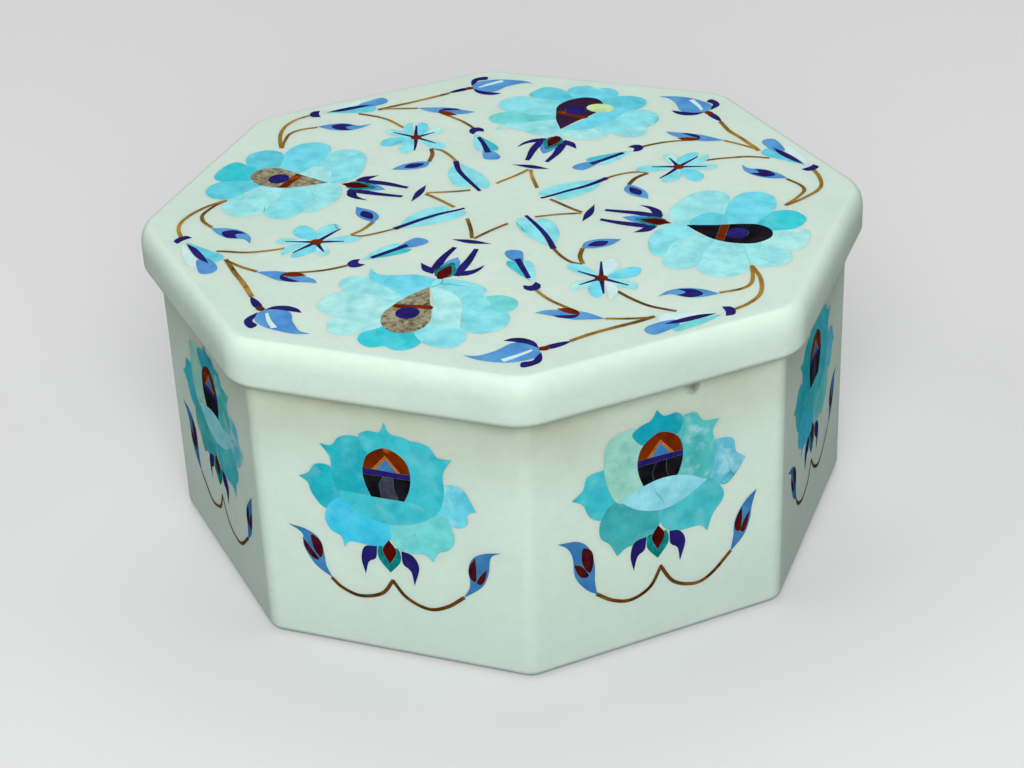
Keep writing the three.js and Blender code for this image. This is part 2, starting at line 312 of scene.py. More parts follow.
def lid_flower_right(shades, eye_stone):
    """The large flower that lies towards +X, with a longer drop for its eye."""
    petals = [
        [(37, 0.2), (33.2, 0.2), (31.2, 4), (31.6, 9), (33.4, 13.6), (36.6, 15.6), (39.8, 14.2), (41, 10),
         (41.4, 6), (40, 2)],
        [(42.2, 1.6), (41.1, 7), (40.8, 12), (42, 15.8), (45, 17.2), (48, 15.8), (49.5, 12), (49.2, 8),
         (48.4, 3)],
        [(48, 3), (48.8, 7.8), (50.4, 10.4), (53.4, 10.8), (56, 8.4), (55.7, 5), (53.6, 2.6), (50.6, 1.4)],
        [(50.8, 1.4), (54, 2.9), (57.4, 3.7), (58.4, 0), (57.9, -4), (55, -5.1), (50.6, -3.6), (51.2, 0)],
        [(49.6, -3.6), (46.6, -4.8), (48.2, -8.6), (50.7, -12), (54, -12.6), (57, -10), (56.8, -6.4),
         (54.4, -4.6)],
        [(44.2, -4.2), (41.6, -6), (41.3, -12), (42.4, -16.6), (45.4, -18.6), (49, -17.6), (51, -14.2),
         (49.8, -10), (47.4, -5)],
        [(41, -3.6), (36.4, -3.4), (34.7, -8), (34.9, -13), (36.6, -17), (39.4, -17.6), (41.8, -15.4),
         (41.7, -10), (42.2, -5)],
        [(37, 0), (32.8, -0.8), (30.9, -4.6), (31.1, -9), (33.2, -13.2), (35.2, -12.8), (35.2, -8),
         (38, -2.6)],
        [(36.4, 0.4), (36.2, 3.2), (38.2, 6), (41.2, 5.8), (42.6, 2.2), (40.8, 0.6)],
    ]
    stones = [Stone("flower", shade, smooth(points)) for shade, points in zip(shades, petals)]
    eye = smooth([(35.6, 0, TIP), (38.8, -2.5), (42.2, -4.4), (46, -4.9), (49.6, -3.9), (51.7, -0.8),
                  (50.9, 2.2), (48, 3.6), (44.4, 2.8), (40.6, 1.3)])
    bar = smooth([(41.7, 1.7, TIP), (43.2, 2.3, TIP), (43.9, -4.7, TIP), (42.3, -4.3, TIP)])
    return stones + [
        Stone("flower_eye", eye_stone, eye),
        Stone("flower_eye", "carnelian", bar),
        Stone("flower_eye", "lapis", disc(45.5, -0.9, 2, 2.2)),
    ]


# The lid's large flowers: drawing, mirroring in x and y, eye, and petal shades
LID_FLOWERS = [
    (lid_flower_front, (1, 1), "granite",
     "bright milk milk pale sky light milk light mint light".split()),
    (lid_flower_right, (1, 1), "onyx",
     "pale sky bright milk pale pale pale light lagoon".split()),
    (lid_flower_front, (1, -1), "violet",
     "sky lagoon light mint pale milk sky light pale lagoon".split()),
    (lid_flower_right, (-1, 1), "granite",
     "light sky lagoon bright lagoon pale light pale milk".split()),
]


def lid_calyx():
    """The calyx between a large flower and the middle of the lid, drawn towards -Y."""
    return [
        Stone("calyx", "lapis", ribbon([(-1.9, -19.8), (-2.4, -25), (-1.9, -30.4)], 0.9, 2.2)),
        Stone("calyx", "lapis", ribbon([(2.1, -19.4), (2.4, -25), (1.9, -30.4)], 0.9, 2.2)),
        Stone("calyx", "tulip_leaf", smooth([(0, -23.4, TIP), (1.2, -25.4), (1.5, -28.2), (0, -29),
                                             (-1.5, -28.2), (-1.2, -25.4)])),
        Stone("calyx", "malachite", smooth([(0, -25.6), (1.2, -27.4), (1.9, -29.4), (1.4, -31.2), (0, -32),
                                            (-1.4, -31.2), (-1.9, -29.4), (-1.2, -27.4)])),
        Stone("calyx", "red", smooth([(0, -26.6, TIP), (1, -28.8), (1.2, -30.6), (0, -33, TIP),
                                      (-1.2, -30.8), (-1, -28.8)])),
        Stone("calyx", "lapis", smooth([(-1.9, -30.9, TIP), (-4.2, -29.9), (-5.6, -27.2, TIP),
                                        (-3.8, -28.2), (-2.2, -29)])),
        Stone("calyx", "lapis", smooth([(1.9, -30.6, TIP), (4.4, -29.6), (5.6, -27.4), (5.8, -25, TIP),
                                        (4.4, -27.4), (2.2, -28.8)])),
        Stone("calyx", "lapis", smooth([(-3.8, -16.9, TIP), (0, -16.2), (4.2, -16.8, TIP), (0, -17.7)])),
        Stone("scroll_middle", "stem", ribbon([(0.2, -15.6), (1.8, -12), (4, -8)], 0.75)),
        Stone("scroll_middle", "stem", ribbon([(-0.2, -15.6), (-1.8, -12), (-4, -8)], 0.75)),
    ]


def lid_quarter(first):
    """The scroll of stems, leaves, buds and small flowers that fills the quarter +X, -Y.

    The first quarter has white petals in its small flower, and the others have them in a bud.
    """
    white = "shell" if first else "light"
    bud_petals = ("shell", "mint") if first else ("lagoon", "shell")
    stems = [
        ([(51, -12.6), (52.2, -16), (52.7, -19.6), (51.4, -22), (48.4, -24.2)], 0.75),
        ([(51.2, -12.8), (53.8, -17), (55.2, -22.4), (54.2, -26.6), (52.4, -29.4)], 0.8),
        ([(40.2, -35.4), (38, -38), (35, -40.9), (32, -44), (29.2, -47.5)], 0.95),
        ([(40, -35.9), (36.6, -37.3), (32.4, -38.5)], 0.75),
        ([(43.2, -32.7), (38.4, -32.1), (34.6, -30.4), (31.4, -28.4)], 0.75),
        ([(25.4, -36.7), (21.4, -34.7), (18.4, -32.4), (17.4, -31.2)], 0.75),
        ([(20.4, -14), (21, -17.4), (22.4, -20)], 0.85),
        ([(15.2, -15.4), (17.6, -18), (20, -19.8), (22.3, -20.3)], 0.7),
    ]
    stones = [Stone("scroll", "stem", ribbon(points, width)) for points, width in stems]
    motifs = {
        "scroll": [
            ("tulip_leaf", [(48.6, -24.5, TIP), (45.4, -23.7), (42.2, -24.1), (39.8, -25.8),
                            (38.6, -28.4, TIP), (40.6, -27), (43.4, -27.4), (46.2, -26.4)]),
            ("lapis", [(45.9, -25.4), (44, -24.1), (41, -24.8, TIP), (42.8, -25.6), (41.6, -27, TIP),
                       (44.2, -27.1)]),
            ("tulip_leaf", [(32.6, -38.6, TIP), (28.6, -37.2), (24.6, -37.4), (21.6, -38.4),
                            (20.2, -39.8, TIP), (23.4, -40), (27, -40.3), (30, -39.5)]),
            ("carnelian", [(23.3, -37.3, TIP), (25.4, -36.4), (27.4, -37.3), (27.8, -38.5, TIP),
                           (25.4, -38.3)]),
            ("lapis", [(27.8, -38.3, TIP), (27.2, -39.7), (25, -40.3), (23.4, -39.9, TIP), (25.8, -39)]),
            ("tulip_leaf", [(20.2, -14.2, TIP), (20.1, -11.6), (22.4, -9.6), (26, -8.8, TIP), (24.9, -11.6),
                            (22.6, -13.5)]),
            ("lapis", [(21, -13), (21.8, -10.8), (24, -10.2), (23.6, -12.2)]),
        ],
        "bud_outer": [
            ("lapis", [(50.1, -29, TIP), (51.6, -28.6), (52.7, -29.6), (52.9, -31.2), (51.6, -32.1, TIP),
                       (51.2, -30.6)]),
            (bud_petals[0], [(50.6, -30.9, TIP), (46.6, -32.1), (42.2, -33.5), (40.8, -34.8), (41.4, -36.9),
                             (44, -35.8), (47.6, -33)]),
            (bud_petals[1], [(51, -31.5, TIP), (48.6, -33.4), (45.6, -36.4), (44.2, -38.6), (45.2, -39.6),
                             (47.1, -37.7), (49.3, -34.8)]),
            ("tulip_leaf", [(44, -35.6), (42, -36.8), (40, -39.2), (40.1, -41), (42, -41.7), (44, -39.2),
                            (45, -37.2)]),
            ("lapis", [(50, -31.5, TIP), (47.2, -32.8), (44.4, -35.2), (42.4, -37.8, TIP), (45.4, -36.2),
                       (48.2, -33.6)]),
        ],
        "bud": [
            ("lapis", [(14.9, -30.6, TIP), (16.3, -30.4), (16.6, -28.8, TIP), (17.8, -29.6), (18.1, -31.2),
                       (17, -32.3), (15.6, -31.9)]),
            ("medium", [(15.6, -28.8, TIP), (12, -26.2), (9.5, -24), (9.2, -22.4), (11.4, -23),
                        (14, -26.2)]),
            ("light", [(16.3, -29.3, TIP), (15.4, -25.6), (13.8, -22.4), (12.5, -21.2), (11.6, -22.6),
                       (13, -25)]),
            ("tulip_leaf", [(11.9, -22.8), (9.6, -22), (7.7, -20), (7.8, -18.4), (10.1, -18),
                            (11.4, -20.4)]),
        ],
        "bud_inner": [
            ("light", [(15, -14.5, TIP), (14.8, -10.4), (12.6, -6.2), (9.8, -4.2), (8.6, -5.8),
                       (11.4, -9)]),
            ("light", [(14.2, -15, TIP), (9.8, -12.4), (6.2, -8.9), (5, -5.6), (7, -5.4), (10, -8.4)]),
        ],
        "star_flower": [
            (white, [(26.6, -23.2), (25.5, -19), (26.6, -16.5), (28.6, -18.4), (28.6, -21.6),
                     (27.8, -23.2)]),
            ("sky", [(28.1, -23.9), (28.4, -21.8), (30.6, -19.1), (32.7, -18.9), (33.1, -21.6),
                     (31, -23.5)]),
            ("light", [(26.2, -24), (23.4, -24), (20.3, -22.4), (20.1, -20.5), (22.6, -20.5),
                       (24.9, -22.1)]),
            ("sky", [(26.7, -25.3), (26, -28), (27.2, -30.7), (29, -31.6), (29.2, -29), (27.9, -25.6)]),
            (white, [(28.3, -25.4), (29.6, -28.6), (30.9, -31.3), (31.6, -29), (30.5, -26.2)]),
            ("pale", [(28.5, -24.7), (30, -23.8), (33.7, -24.6), (34.2, -26.8), (31.4, -26.7)]),
            ("milk", [(26.2, -25), (24.4, -25.9), (22.9, -28.4), (24.2, -30.1), (25.9, -28)]),
        ],
        "tulip": [
            ("tulip_leaf", [(25, -51.5), (24, -50.3), (22, -50), (20, -51), (18.4, -54), (16.2, -56.4),
                            (13.7, -57, TIP), (16.6, -57.8), (20, -57.7), (22.5, -57), (25.2, -55),
                            (25.8, -53)]),
            ("lapis", [(29.6, -47.3, TIP), (27.8, -48.3), (26.1, -49.8), (25.5, -51.2), (27, -51),
                       (28.6, -49.3)]),
            ("carnelian", [(26.2, -50.2), (24.9, -51), (25.4, -52), (26.7, -51.4)]),
            ("lapis", [(18.4, -50.5, TIP), (19.6, -49.2), (21.6, -48.7), (23.7, -49.5), (25, -51.3, TIP),
                       (22.8, -50.5), (20.4, -50.4)]),
            ("lapis", [(25.8, -52.4, TIP), (26.7, -54.4), (26.7, -56), (25.5, -57.6), (24.3, -58.2),
                       (23.8, -56.6), (25.3, -55.6), (25.5, -54)]),
        ],
    }
    for piece, shapes in motifs.items():
        stones += [Stone(piece, finish, smooth(points)) for finish, points in shapes]
    stones += [
        Stone("bud", "lapis", ribbon([(15, -27.8), (12.8, -24.6), (10.5, -21.2)], 0.9, 1.2)),
        Stone("bud_inner", "lapis",
              ribbon([(15.5, -15.7), (12.6, -11.2), (9.6, -7.6), (6, -3.9)], 1.2, 0.7)),
        Stone("tulip", "shell", ribbon([(24.1, -52.2), (22.6, -54.4), (20.6, -56.9)], 0.6, 1.1)),
    ]
    middle = (27.2, -24.4)
    sepals = [(25.2, -18.2), (29.4, -29.9), (22.4, -22.9), (32.6, -25.7), (24.3, -27.8)]
    for tip in sepals:
        stones.append(Stone("star_flower", "lapis", ribbon([middle, tip], 1.0, 0.3)))
    stones.append(Stone("star_flower", "carnelian", disc(*middle, 1.2, sides=14)))
    return stones


def side_petals_front():
    """Petals and cup of the flower on the panel that faces -Y."""
    return [
        ("deep", [(-8.4, 31.2), (-12.2, 29), (-14.6, 31.6), (-15.3, 33.8), (-16.9, 34.9, TIP), (-15, 35.9),
                  (-13.6, 37.8), (-11, 38), (-9.2, 36), (-9, 33)]),
        ("crackled_azure", [(7.6, 31), (12, 29.3), (14.2, 30.4), (14.3, 32.4), (15.9, 33.2, TIP),
                            (15, 35.2), (13.6, 37.4), (10.6, 37.7), (9.4, 35), (8.2, 32.6)]),
        ("azure", [(0, 28.4), (-4, 29.6), (-8.2, 32), (-11.4, 30.2), (-12.6, 27), (-11.6, 24.6),
                   (-9.8, 23.6), (-9.2, 21.4, TIP), (-8.2, 22.8), (-5, 22.7), (-1.8, 22.6), (-0.2, 25)]),
        ("mint", [(-0.1, 28.4), (4, 29.6), (8.2, 31.6), (10.8, 30), (11.7, 26.6), (10.4, 24.4), (8.6, 23.5),
                  (7.4, 21.3, TIP), (6, 22.6), (3, 22.4), (0.9, 23), (-0.2, 25)]),
        ("deep", [(-3.6, 38), (-2.8, 33), (-6.6, 32), (-9.6, 32.8), (-10.6, 36), (-10.6, 39.6),
                  (-12.4, 42.3, TIP), (-10.2, 42.2), (-8.4, 44.2), (-5, 44.6), (-3, 41.6)]),
        ("medium", [(3.4, 38), (2.2, 33), (6, 31.4), (9, 32), (10.2, 36), (10.3, 40), (12, 42.9, TIP),
                    (9.4, 43), (7.8, 45), (4.2, 45.2), (2.6, 42)]),
        ("medium", [(-3, 41.4), (-5, 44.7), (-3.2, 46.2), (-1, 46.3), (0, 48.3, TIP), (1, 46.3),
                    (3.4, 45.9), (4.9, 44.8), (2.8, 41.8), (0, 42.4)]),
        ("medium", [(-9.6, 33.2, TIP), (-4, 33.2), (3.2, 33.2), (8.9, 31.5, TIP), (5, 29), (0, 27.8),
                    (-4.6, 28.6), (-7.8, 30.8)]),
    ]


def side_petals_right():
    """Petals and cup of the flower on the panel to the right of it."""
    return [
        ("medium", [(-8.4, 38.6), (-10.4, 38.8), (-13.4, 38.4), (-14.3, 36), (-16.5, 34.4, TIP),
                    (-14.4, 33), (-13, 30), (-10, 28.8), (-7, 31.6)]),
        ("frost", [(10.6, 38), (12.6, 38.6), (15, 37.7), (15.6, 35), (17.5, 33.4, TIP), (16, 31),
                   (13.4, 28.9), (9.4, 30.6), (10.4, 33.6)]),
        ("teal", [(0.7, 28.4), (-4, 29.8), (-8.2, 31.8), (-11, 28.8), (-11.2, 25.4), (-9.4, 23.4),
                  (-8, 20.5, TIP), (-6, 21.8), (-3, 21.7), (-1, 22.8), (0.5, 25)]),
        ("aqua", [(0.5, 28.4), (4.6, 29.6), (9.6, 31.4), (12.8, 28.4), (13, 26), (11, 23.4),
                  (9.9, 20.3, TIP), (8.4, 21.8), (5, 22), (2.4, 22.6), (0.5, 25)]),
        ("pale_mint", [(-3, 43), (-4, 45), (-6.5, 45.2), (-9.5, 43.8), (-10.2, 40), (-9.8, 36), (-8, 31.6),
                       (-5, 31), (-2, 33)]),
        ("crackled_aqua", [(4, 43), (4.6, 45), (7.5, 45.2), (9, 43.2), (12.2, 42.7, TIP), (10.9, 40.5),
                           (11.5, 37.5), (11.1, 34), (9.7, 30.6), (5, 31.6), (3.4, 33.4)]),
        # This top petal takes the darker turquoise, as painted shade from the lid's overhang
        ("dark", [(-2.6, 41.4), (-4.8, 44), (-3.2, 45.4), (-1.2, 46), (0, 47.8, TIP), (1.4, 46.2),
                  (3.8, 46.2), (5, 44.8), (4, 42), (0.8, 42)]),
        ("glaze", [(-7.4, 31.5, TIP), (-3, 33.2), (1.2, 33.9), (5.6, 33.2), (9.8, 31, TIP), (5.4, 28.5),
                   (1, 27.5), (-3.6, 28.7)]),
    ]


def side_eye(right):
    """The eye of a side flower: black below a blue band, red-brown above, round a blue point."""
    eye = [(-3.4, 33, TIP), (-4.4, 35.8), (-4.6, 38.6), (-3.5, 41.4), (-0.2, 43.2), (3.1, 41.6),
           (4.2, 38.8), (3.9, 35.6), (2.8, 33, TIP)]
    crown = [(-4.6, 38.5, TIP), (-3.5, 41.4), (-0.2, 43.2), (3.1, 41.6), (4.2, 38.5, TIP)]
    band = [(-4.6, 38.7, TIP), (4.2, 38.5, TIP), (4.1, 37.5, TIP), (-4.6, 37.4, TIP)]
    patch = [(-1.4, 33.1, TIP), (-1.7, 35.6), (-0.8, 37.5, TIP), (1, 37.5, TIP), (1, 35.4),
             (1.7, 33.1, TIP)]
    return [
        Stone("flower_eye", "onyx", smooth(eye)),
        Stone("flower_eye", "onyx" if right else "smoke", smooth(patch)),
        Stone("flower_eye", "carnelian", smooth(crown)),
        Stone("flower_eye", "amber", smooth([(-0.2, 41.7, TIP), (-3, 38.5, TIP), (2.6, 38.4, TIP)])),
        Stone("flower_eye", "leaf", smooth([(-0.2, 41.1, TIP), (-2.2, 38.5, TIP), (1.9, 38.4, TIP)])),
        Stone("flower_eye", "lapis", smooth(band)),
    ]


def side_leaves_front():
    """Leaves and stems of the panel that faces -Y: shapes, and the lines of the stems."""
    leaves = [
        ("leaf", [(-12, 14.2, TIP), (-15.3, 16.6), (-17.2, 20.2), (-17.3, 22.8), (-19.9, 24.4, TIP),
                  (-16.6, 23.9), (-14.2, 22.4), (-13.4, 19.4), (-13.1, 16.6)]),
        ("jasper", [(-15.6, 22.9), (-13.9, 21.8), (-13.5, 19.8), (-14.2, 18.2), (-15.4, 20.2)]),
        ("jasper", [(-17.3, 22, TIP), (-17, 19.9), (-15.6, 17.9), (-14.4, 17.8), (-15.8, 19.9)]),
        ("leaf", [(12.6, 14.8, TIP), (14, 17.6), (14, 21.6), (15, 23.8), (17, 25), (20.1, 25.7, TIP),
                  (18.2, 24.4), (17.6, 20.8), (16.2, 17.8)]),
        ("jasper", [(14.1, 19.4), (14, 21.6), (15.3, 23.9, TIP), (15.4, 21.2), (15.2, 18.8)]),
        ("jasper", [(15.3, 18.6), (15.9, 20), (17.4, 21.9, TIP), (16.9, 19.4), (15.9, 18.2)]),
    ]
    stems = [
        [(-0.4, 16.1), (-2.8, 12.8), (-7, 11.5), (-10.4, 12.6), (-12.4, 14.4)],
        [(-0.6, 16.1), (2, 12.8), (6, 11.2), (9.6, 12.4), (12.9, 15.1)],
    ]
    return leaves, stems


def side_leaves_right():
    """Leaves and stems of the panel to the right of it."""
    leaves = [
        ("leaf", [(-12, 13.8, TIP), (-14.2, 15.6), (-16.2, 18.8), (-16.6, 23), (-17.6, 25.2),
                  (-19.4, 26.6, TIP), (-15.6, 26), (-13.4, 24), (-12.4, 20.4), (-12.4, 16.8)]),
        ("jasper", [(-14.6, 24.2), (-12.9, 23.2), (-12.6, 20.6), (-13.4, 18.8), (-14.8, 21.2)]),
        ("jasper", [(-16.4, 21.4, TIP), (-15.8, 19.4), (-14.8, 18.2), (-13.5, 18.2), (-14.8, 20.6)]),
        ("leaf", [(14.6, 14.2, TIP), (15.2, 17.4), (15.4, 20.2), (16.4, 22.6), (18, 24.6), (19.9, 26, TIP),
                  (19, 23), (18.6, 20.2), (17.4, 17)]),
        ("jasper", [(15.6, 18.6), (15.6, 20.6), (16.9, 23.2, TIP), (17, 20.8), (16.6, 18.2)]),
        ("jasper", [(16.6, 18), (17.2, 19.8), (18.6, 22.2, TIP), (18, 18.9), (17.2, 17.6)]),
    ]
    stems = [
        [(0.7, 15.9), (-1.6, 12), (-5.4, 10.5), (-9, 11.6), (-12.2, 14)],
        [(0.4, 15.9), (3.2, 11.6), (7.6, 9.8), (11, 11), (14.8, 14.5)],
    ]
    return leaves, stems


def side_calyx():
    """The calyx under a side flower: two sepals and a red diamond in green."""
    shapes = [
        ("malachite", [(-0.8, 17.6, TIP), (-2.9, 20.4), (-2.6, 23), (-0.8, 22.4), (0.9, 23), (1.3, 20.4)]),
        ("red", [(-0.7, 24.5, TIP), (-2, 22.2), (-0.8, 19.4, TIP), (0.6, 22.2)]),
        ("lapis", [(-3, 22.8, TIP), (-5.4, 22.3), (-6.2, 19.6), (-5.6, 16.4, TIP), (-4.8, 19.2),
                   (-3.4, 20.2)]),
        ("lapis", [(1.5, 22.6, TIP), (3.6, 22), (4.7, 19.6), (3.6, 15.6, TIP), (3.1, 18.6), (1.7, 19.9)]),
    ]
    return [Stone("spray", finish, smooth(points)) for finish, points in shapes]


def side_motifs(right):
    """All stones of a side panel, drawn after one of the two that face the front.

    On the right-hand one the eye stands a little to the right, and the cup is cut into it.
    """
    petals = side_petals_right() if right else side_petals_front()
    leaves, stems = side_leaves_right() if right else side_leaves_front()
    aside = Vector((0.8 if right else 0, 0))
    stones = [Stone("flower", shade, smooth(points)) for shade, points in petals]
    cup = stones.pop() if right else None
    for stone in side_eye(right) + side_calyx():
        stones.append(Stone(stone.piece, stone.finish, [p + aside for p in stone.outline]))
    if cup:
        stones.append(cup)
    stones += [Stone("spray", "dark_stem", ribbon(points, 0.72)) for points in stems]
    return stones + [Stone("spray", finish, smooth(points)) for finish, points in leaves]


# Flat polished faces, with their stones


class Face:
    """A flat polished face of the marble: its place, its border and the stones that lie in it."""

    def __init__(self, place, border, stones):
        self.place = place
        self.border = border
        self.stones = stones
        loops, points = [], []
        for outline in [border, *(s.outline for s in stones)]:
            turned = outline if area(outline) > 0 else outline[::-1]
            loops.append(list(range(len(points), len(points) + len(turned))))
            points.extend(turned)
        inside_only, merge_within = 1, 1e-4
        found = delaunay_2d_cdt(points, [], loops, inside_only, merge_within)
        self.points, _, self.triangles, inputs, _, owners = found
        self.owners = [max(o) - 1 for o in owners]
        index = {j: i for i, merged in enumerate(inputs) for j in merged}
        self.border_at = [index[j] for j in range(len(border))]

    def at(self, i, depth=0.0):
        x, y = self.points[i]
        return self.place(x, y, -depth) * MM


# How many mesh steps go along a flat, round a corner, up a side panel and over a rounded edge
FLATS = 12
CORNER = 8
ROWS = 16
EDGE = 8

# How far the stones of a copied motif stray from the drawn ones
SIDE_WANDER = 0.4
SCROLL_WANDER = 0.35
FLOWER_WANDER = 0.3
SCROLL_SEED = 20
CALYX_SEED = 30
FLOWER_SEED = 40


def octagon(width, corner_round):
    """Points round an octagon, measured across flats, with the same count for every size."""
    points = []
    reach = width / 2 - corner_round
    half = reach * math.tan(TURN / SIDES / 2)
    for side in range(SIDES):
        angle = TURN * side / SIDES - TURN / 4
        out = Vector((math.cos(angle), math.sin(angle)))
        along = Vector((-out.y, out.x))
        for k in range(FLATS + 1):
            points.append(out * width / 2 + along * half * (2 * k / FLATS - 1))
        corner = out * reach + along * half
        for k in range(1, CORNER):
            turn = angle + TURN / SIDES * k / CORNER
            points.append(corner + Vector((math.cos(turn), math.sin(turn))) * corner_round)
    return points


def quarter_round(radius, steps, outward_first):
    """(inset, drop) steps of a rounded edge, from its flat end to its upright end."""
    turns = [TURN / 4 * k / steps for k in range(1, steps + 1)]
    if outward_first:
        return [(radius * (1 - math.sin(a)), radius * (1 - math.cos(a))) for a in turns]
    return [(radius * (1 - math.cos(a)), radius * math.sin(a)) for a in turns]


@cache
def side_face(side):
    """Side panel: 0 faces -Y, and the others follow anticlockwise."""
    sizes = bpy.context.scene.marble_box_sizes
    angle = TURN * side / SIDES - TURN / 4
    out = Vector((math.cos(angle), math.sin(angle), 0))
    along = Vector((-out.y, out.x, 0))
    half = (BOX_WIDTH / 2 - sizes.corner_round / MM) * math.tan(TURN / SIDES / 2)
    low = sizes.foot_round / MM
    high = BOX_TOP - sizes.rim_round / MM
    across = [half * (2 * k / FLATS - 1) for k in range(FLATS + 1)]
    up = [low + (high - low) * k / ROWS for k in range(ROWS + 1)]
    border = [(x, low) for x in across] + [(half, y) for y in up[1:-1]]
    border += [(x, high) for x in across[::-1]] + [(-half, y) for y in up[-2:0:-1]]
    stones = hand_cut(side_motifs(right=side % 2), side, SIDE_WANDER if side > 1 else 0)
    still = Matrix.Identity(2)

    def place(x, y, rise):
        return out * (BOX_WIDTH / 2 + rise) + along * x + Vector((0, 0, y))

    named = changed(stones, f"side_{{}}_{side + 1}", still)
    return Face(place, [Vector(p) for p in border], named)


@cache
def lid_face():
    """The lid's polished top, with its four large flowers and the scrolls between them."""
    sizes = bpy.context.scene.marble_box_sizes
    inset = sizes.lid_top_inset / MM
    border = octagon(LID_WIDTH - 2 * inset, sizes.lid_corner_round / MM - inset)
    stones = []
    for i, (x, y) in enumerate([(1, 1), (1, -1), (-1, -1), (-1, 1)]):
        mirror = Matrix(((x, 0), (0, y)))
        quarter = changed(lid_quarter(i == 0), f"lid_{{}}_{i + 1}", mirror)
        stones += hand_cut(quarter, SCROLL_SEED + i, SCROLL_WANDER if i else 0)
    for i in range(4):
        turned = Matrix.Rotation(TURN * i / 4, 2)
        calyx = changed(lid_calyx(), f"lid_{{}}_{i + 1}", turned)
        stones += hand_cut(calyx, CALYX_SEED + i, FLOWER_WANDER if i else 0)
    for i, (draw, (x, y), eye, shades) in enumerate(LID_FLOWERS):
        mirror = Matrix(((x, 0), (0, y)))
        flower = changed(draw(shades, eye), f"lid_{{}}_{i + 1}", mirror)
        stones += hand_cut(flower, FLOWER_SEED + i, FLOWER_WANDER if i > 1 else 0)
    lime_petal = disc(3.9, 48, 2.9, 2.2)
    stones.append(Stone("lid_flower_3", "lime", lime_petal))

    def place(x, y, rise):
        return Vector((x, y, LID_TOP + rise))

    return Face(place, border, stones)


# Meshes

ROUND, POLISHED, CEMENTED = range(3)


class Marble:
    """A marble body under construction, its faces sorted into round, polished and cemented."""

    def __init__(self):
        self.mesh = bmesh.new()
        self.kind = self.mesh.faces.layers.int.new("kind")

    def vertex(self, place):
        return self.mesh.verts.new(place)

    def face(self, corners, kind):
        made = self.mesh.faces.new(corners)
        made[self.kind] = kind
        made.material_index = 1 if kind == CEMENTED else 0
        made.smooth = True

    def ring(self, points, height):
        """A closed ring of vertices; height is a number or gives one for each point."""
        high = height if callable(height) else lambda p: height
        return [self.vertex(Vector((p.x, p.y, high(p))) * MM) for p in points]

    def band(self, upper, lower):
        """Quads between two rings of as many vertices."""
        for i in range(len(upper)):
            self.face((upper[i - 1], lower[i - 1], lower[i], upper[i]), ROUND)

    def octagons(self, last, rings):
        """Goes on from a ring through octagons of given width, corner radius and height."""
        for width, corner_round, height in rings:
            ring = self.ring(octagon(width, corner_round), height)
            self.band(last, ring)
            last = ring
        return last

    def polished(self, field, joint_depth):
        """A flat face with shallow beds of cement where its stones lie. Gives its border."""
        top = {}
        bed = {}
        for triangle, owner in zip(field.triangles, field.owners):
            level, depth = (top, 0) if owner < 0 else (bed, joint_depth)
            for i in triangle:
                if i not in level:
                    level[i] = self.vertex(field.at(i, depth))
            self.face([level[i] for i in triangle], POLISHED if owner < 0 else CEMENTED)
        stone_edges = set()
        for triangle, owner in zip(field.triangles, field.owners):
            if owner >= 0:
                stone_edges.update(zip(triangle, [*triangle[1:], triangle[0]]))
        for a, b in sorted(stone_edges):
            if (b, a) not in stone_edges:
                self.face((top[a], top[b], bed[b], bed[a]), CEMENTED)
        return [top[i] for i in field.border_at]

    def finished(self, name, materials):
        """The mesh as an object whose flat faces stay flat up to their rounded edges."""
        bmesh.ops.recalc_face_normals(self.mesh, faces=self.mesh.faces)
        kinds = [f[self.kind] for f in self.mesh.faces]
        data = bpy.data.meshes.new(name)
        self.mesh.to_mesh(data)
        self.mesh.free()
        around = defaultdict(list)
        for polygon in data.polygons:
            for v in polygon.vertices:
                around[v].append(polygon.index)
        normals = []
        for polygon in data.polygons:
            own = polygon.normal
            for v in polygon.vertices:
                if kinds[polygon.index] != ROUND:
                    normals.append(own)
                    continue
                near = [i for i in around[v] if data.polygons[i].normal.dot(own) > CREASE]
                flat = [i for i in near if kinds[i] == POLISHED]
                shared = [data.polygons[i].normal for i in flat[:1] or near]
                normals.append(sum(shared, Vector()).normalized())
        data.normals_split_custom_set(normals)
        for material in materials:
            data.materials.append(material)
        return link(name, data)


def link(name, data):
    made = bpy.data.objects.new(name, data)
    bpy.context.scene.collection.objects.link(made)
    return made


def wavy(seed, reach, length):
    """A smooth wander between 0 and -reach that depends on the place in plan."""
    def wander(p):
        return -reach * (0.5 + 0.5 * noise.noise(Vector((p.x / length, p.y / length, seed))))
    return wander


def drawn_in(points, wander):
    """Ring points moved towards the middle by a wander."""
    return [p + p.normalized() * wander(p) for p in points]


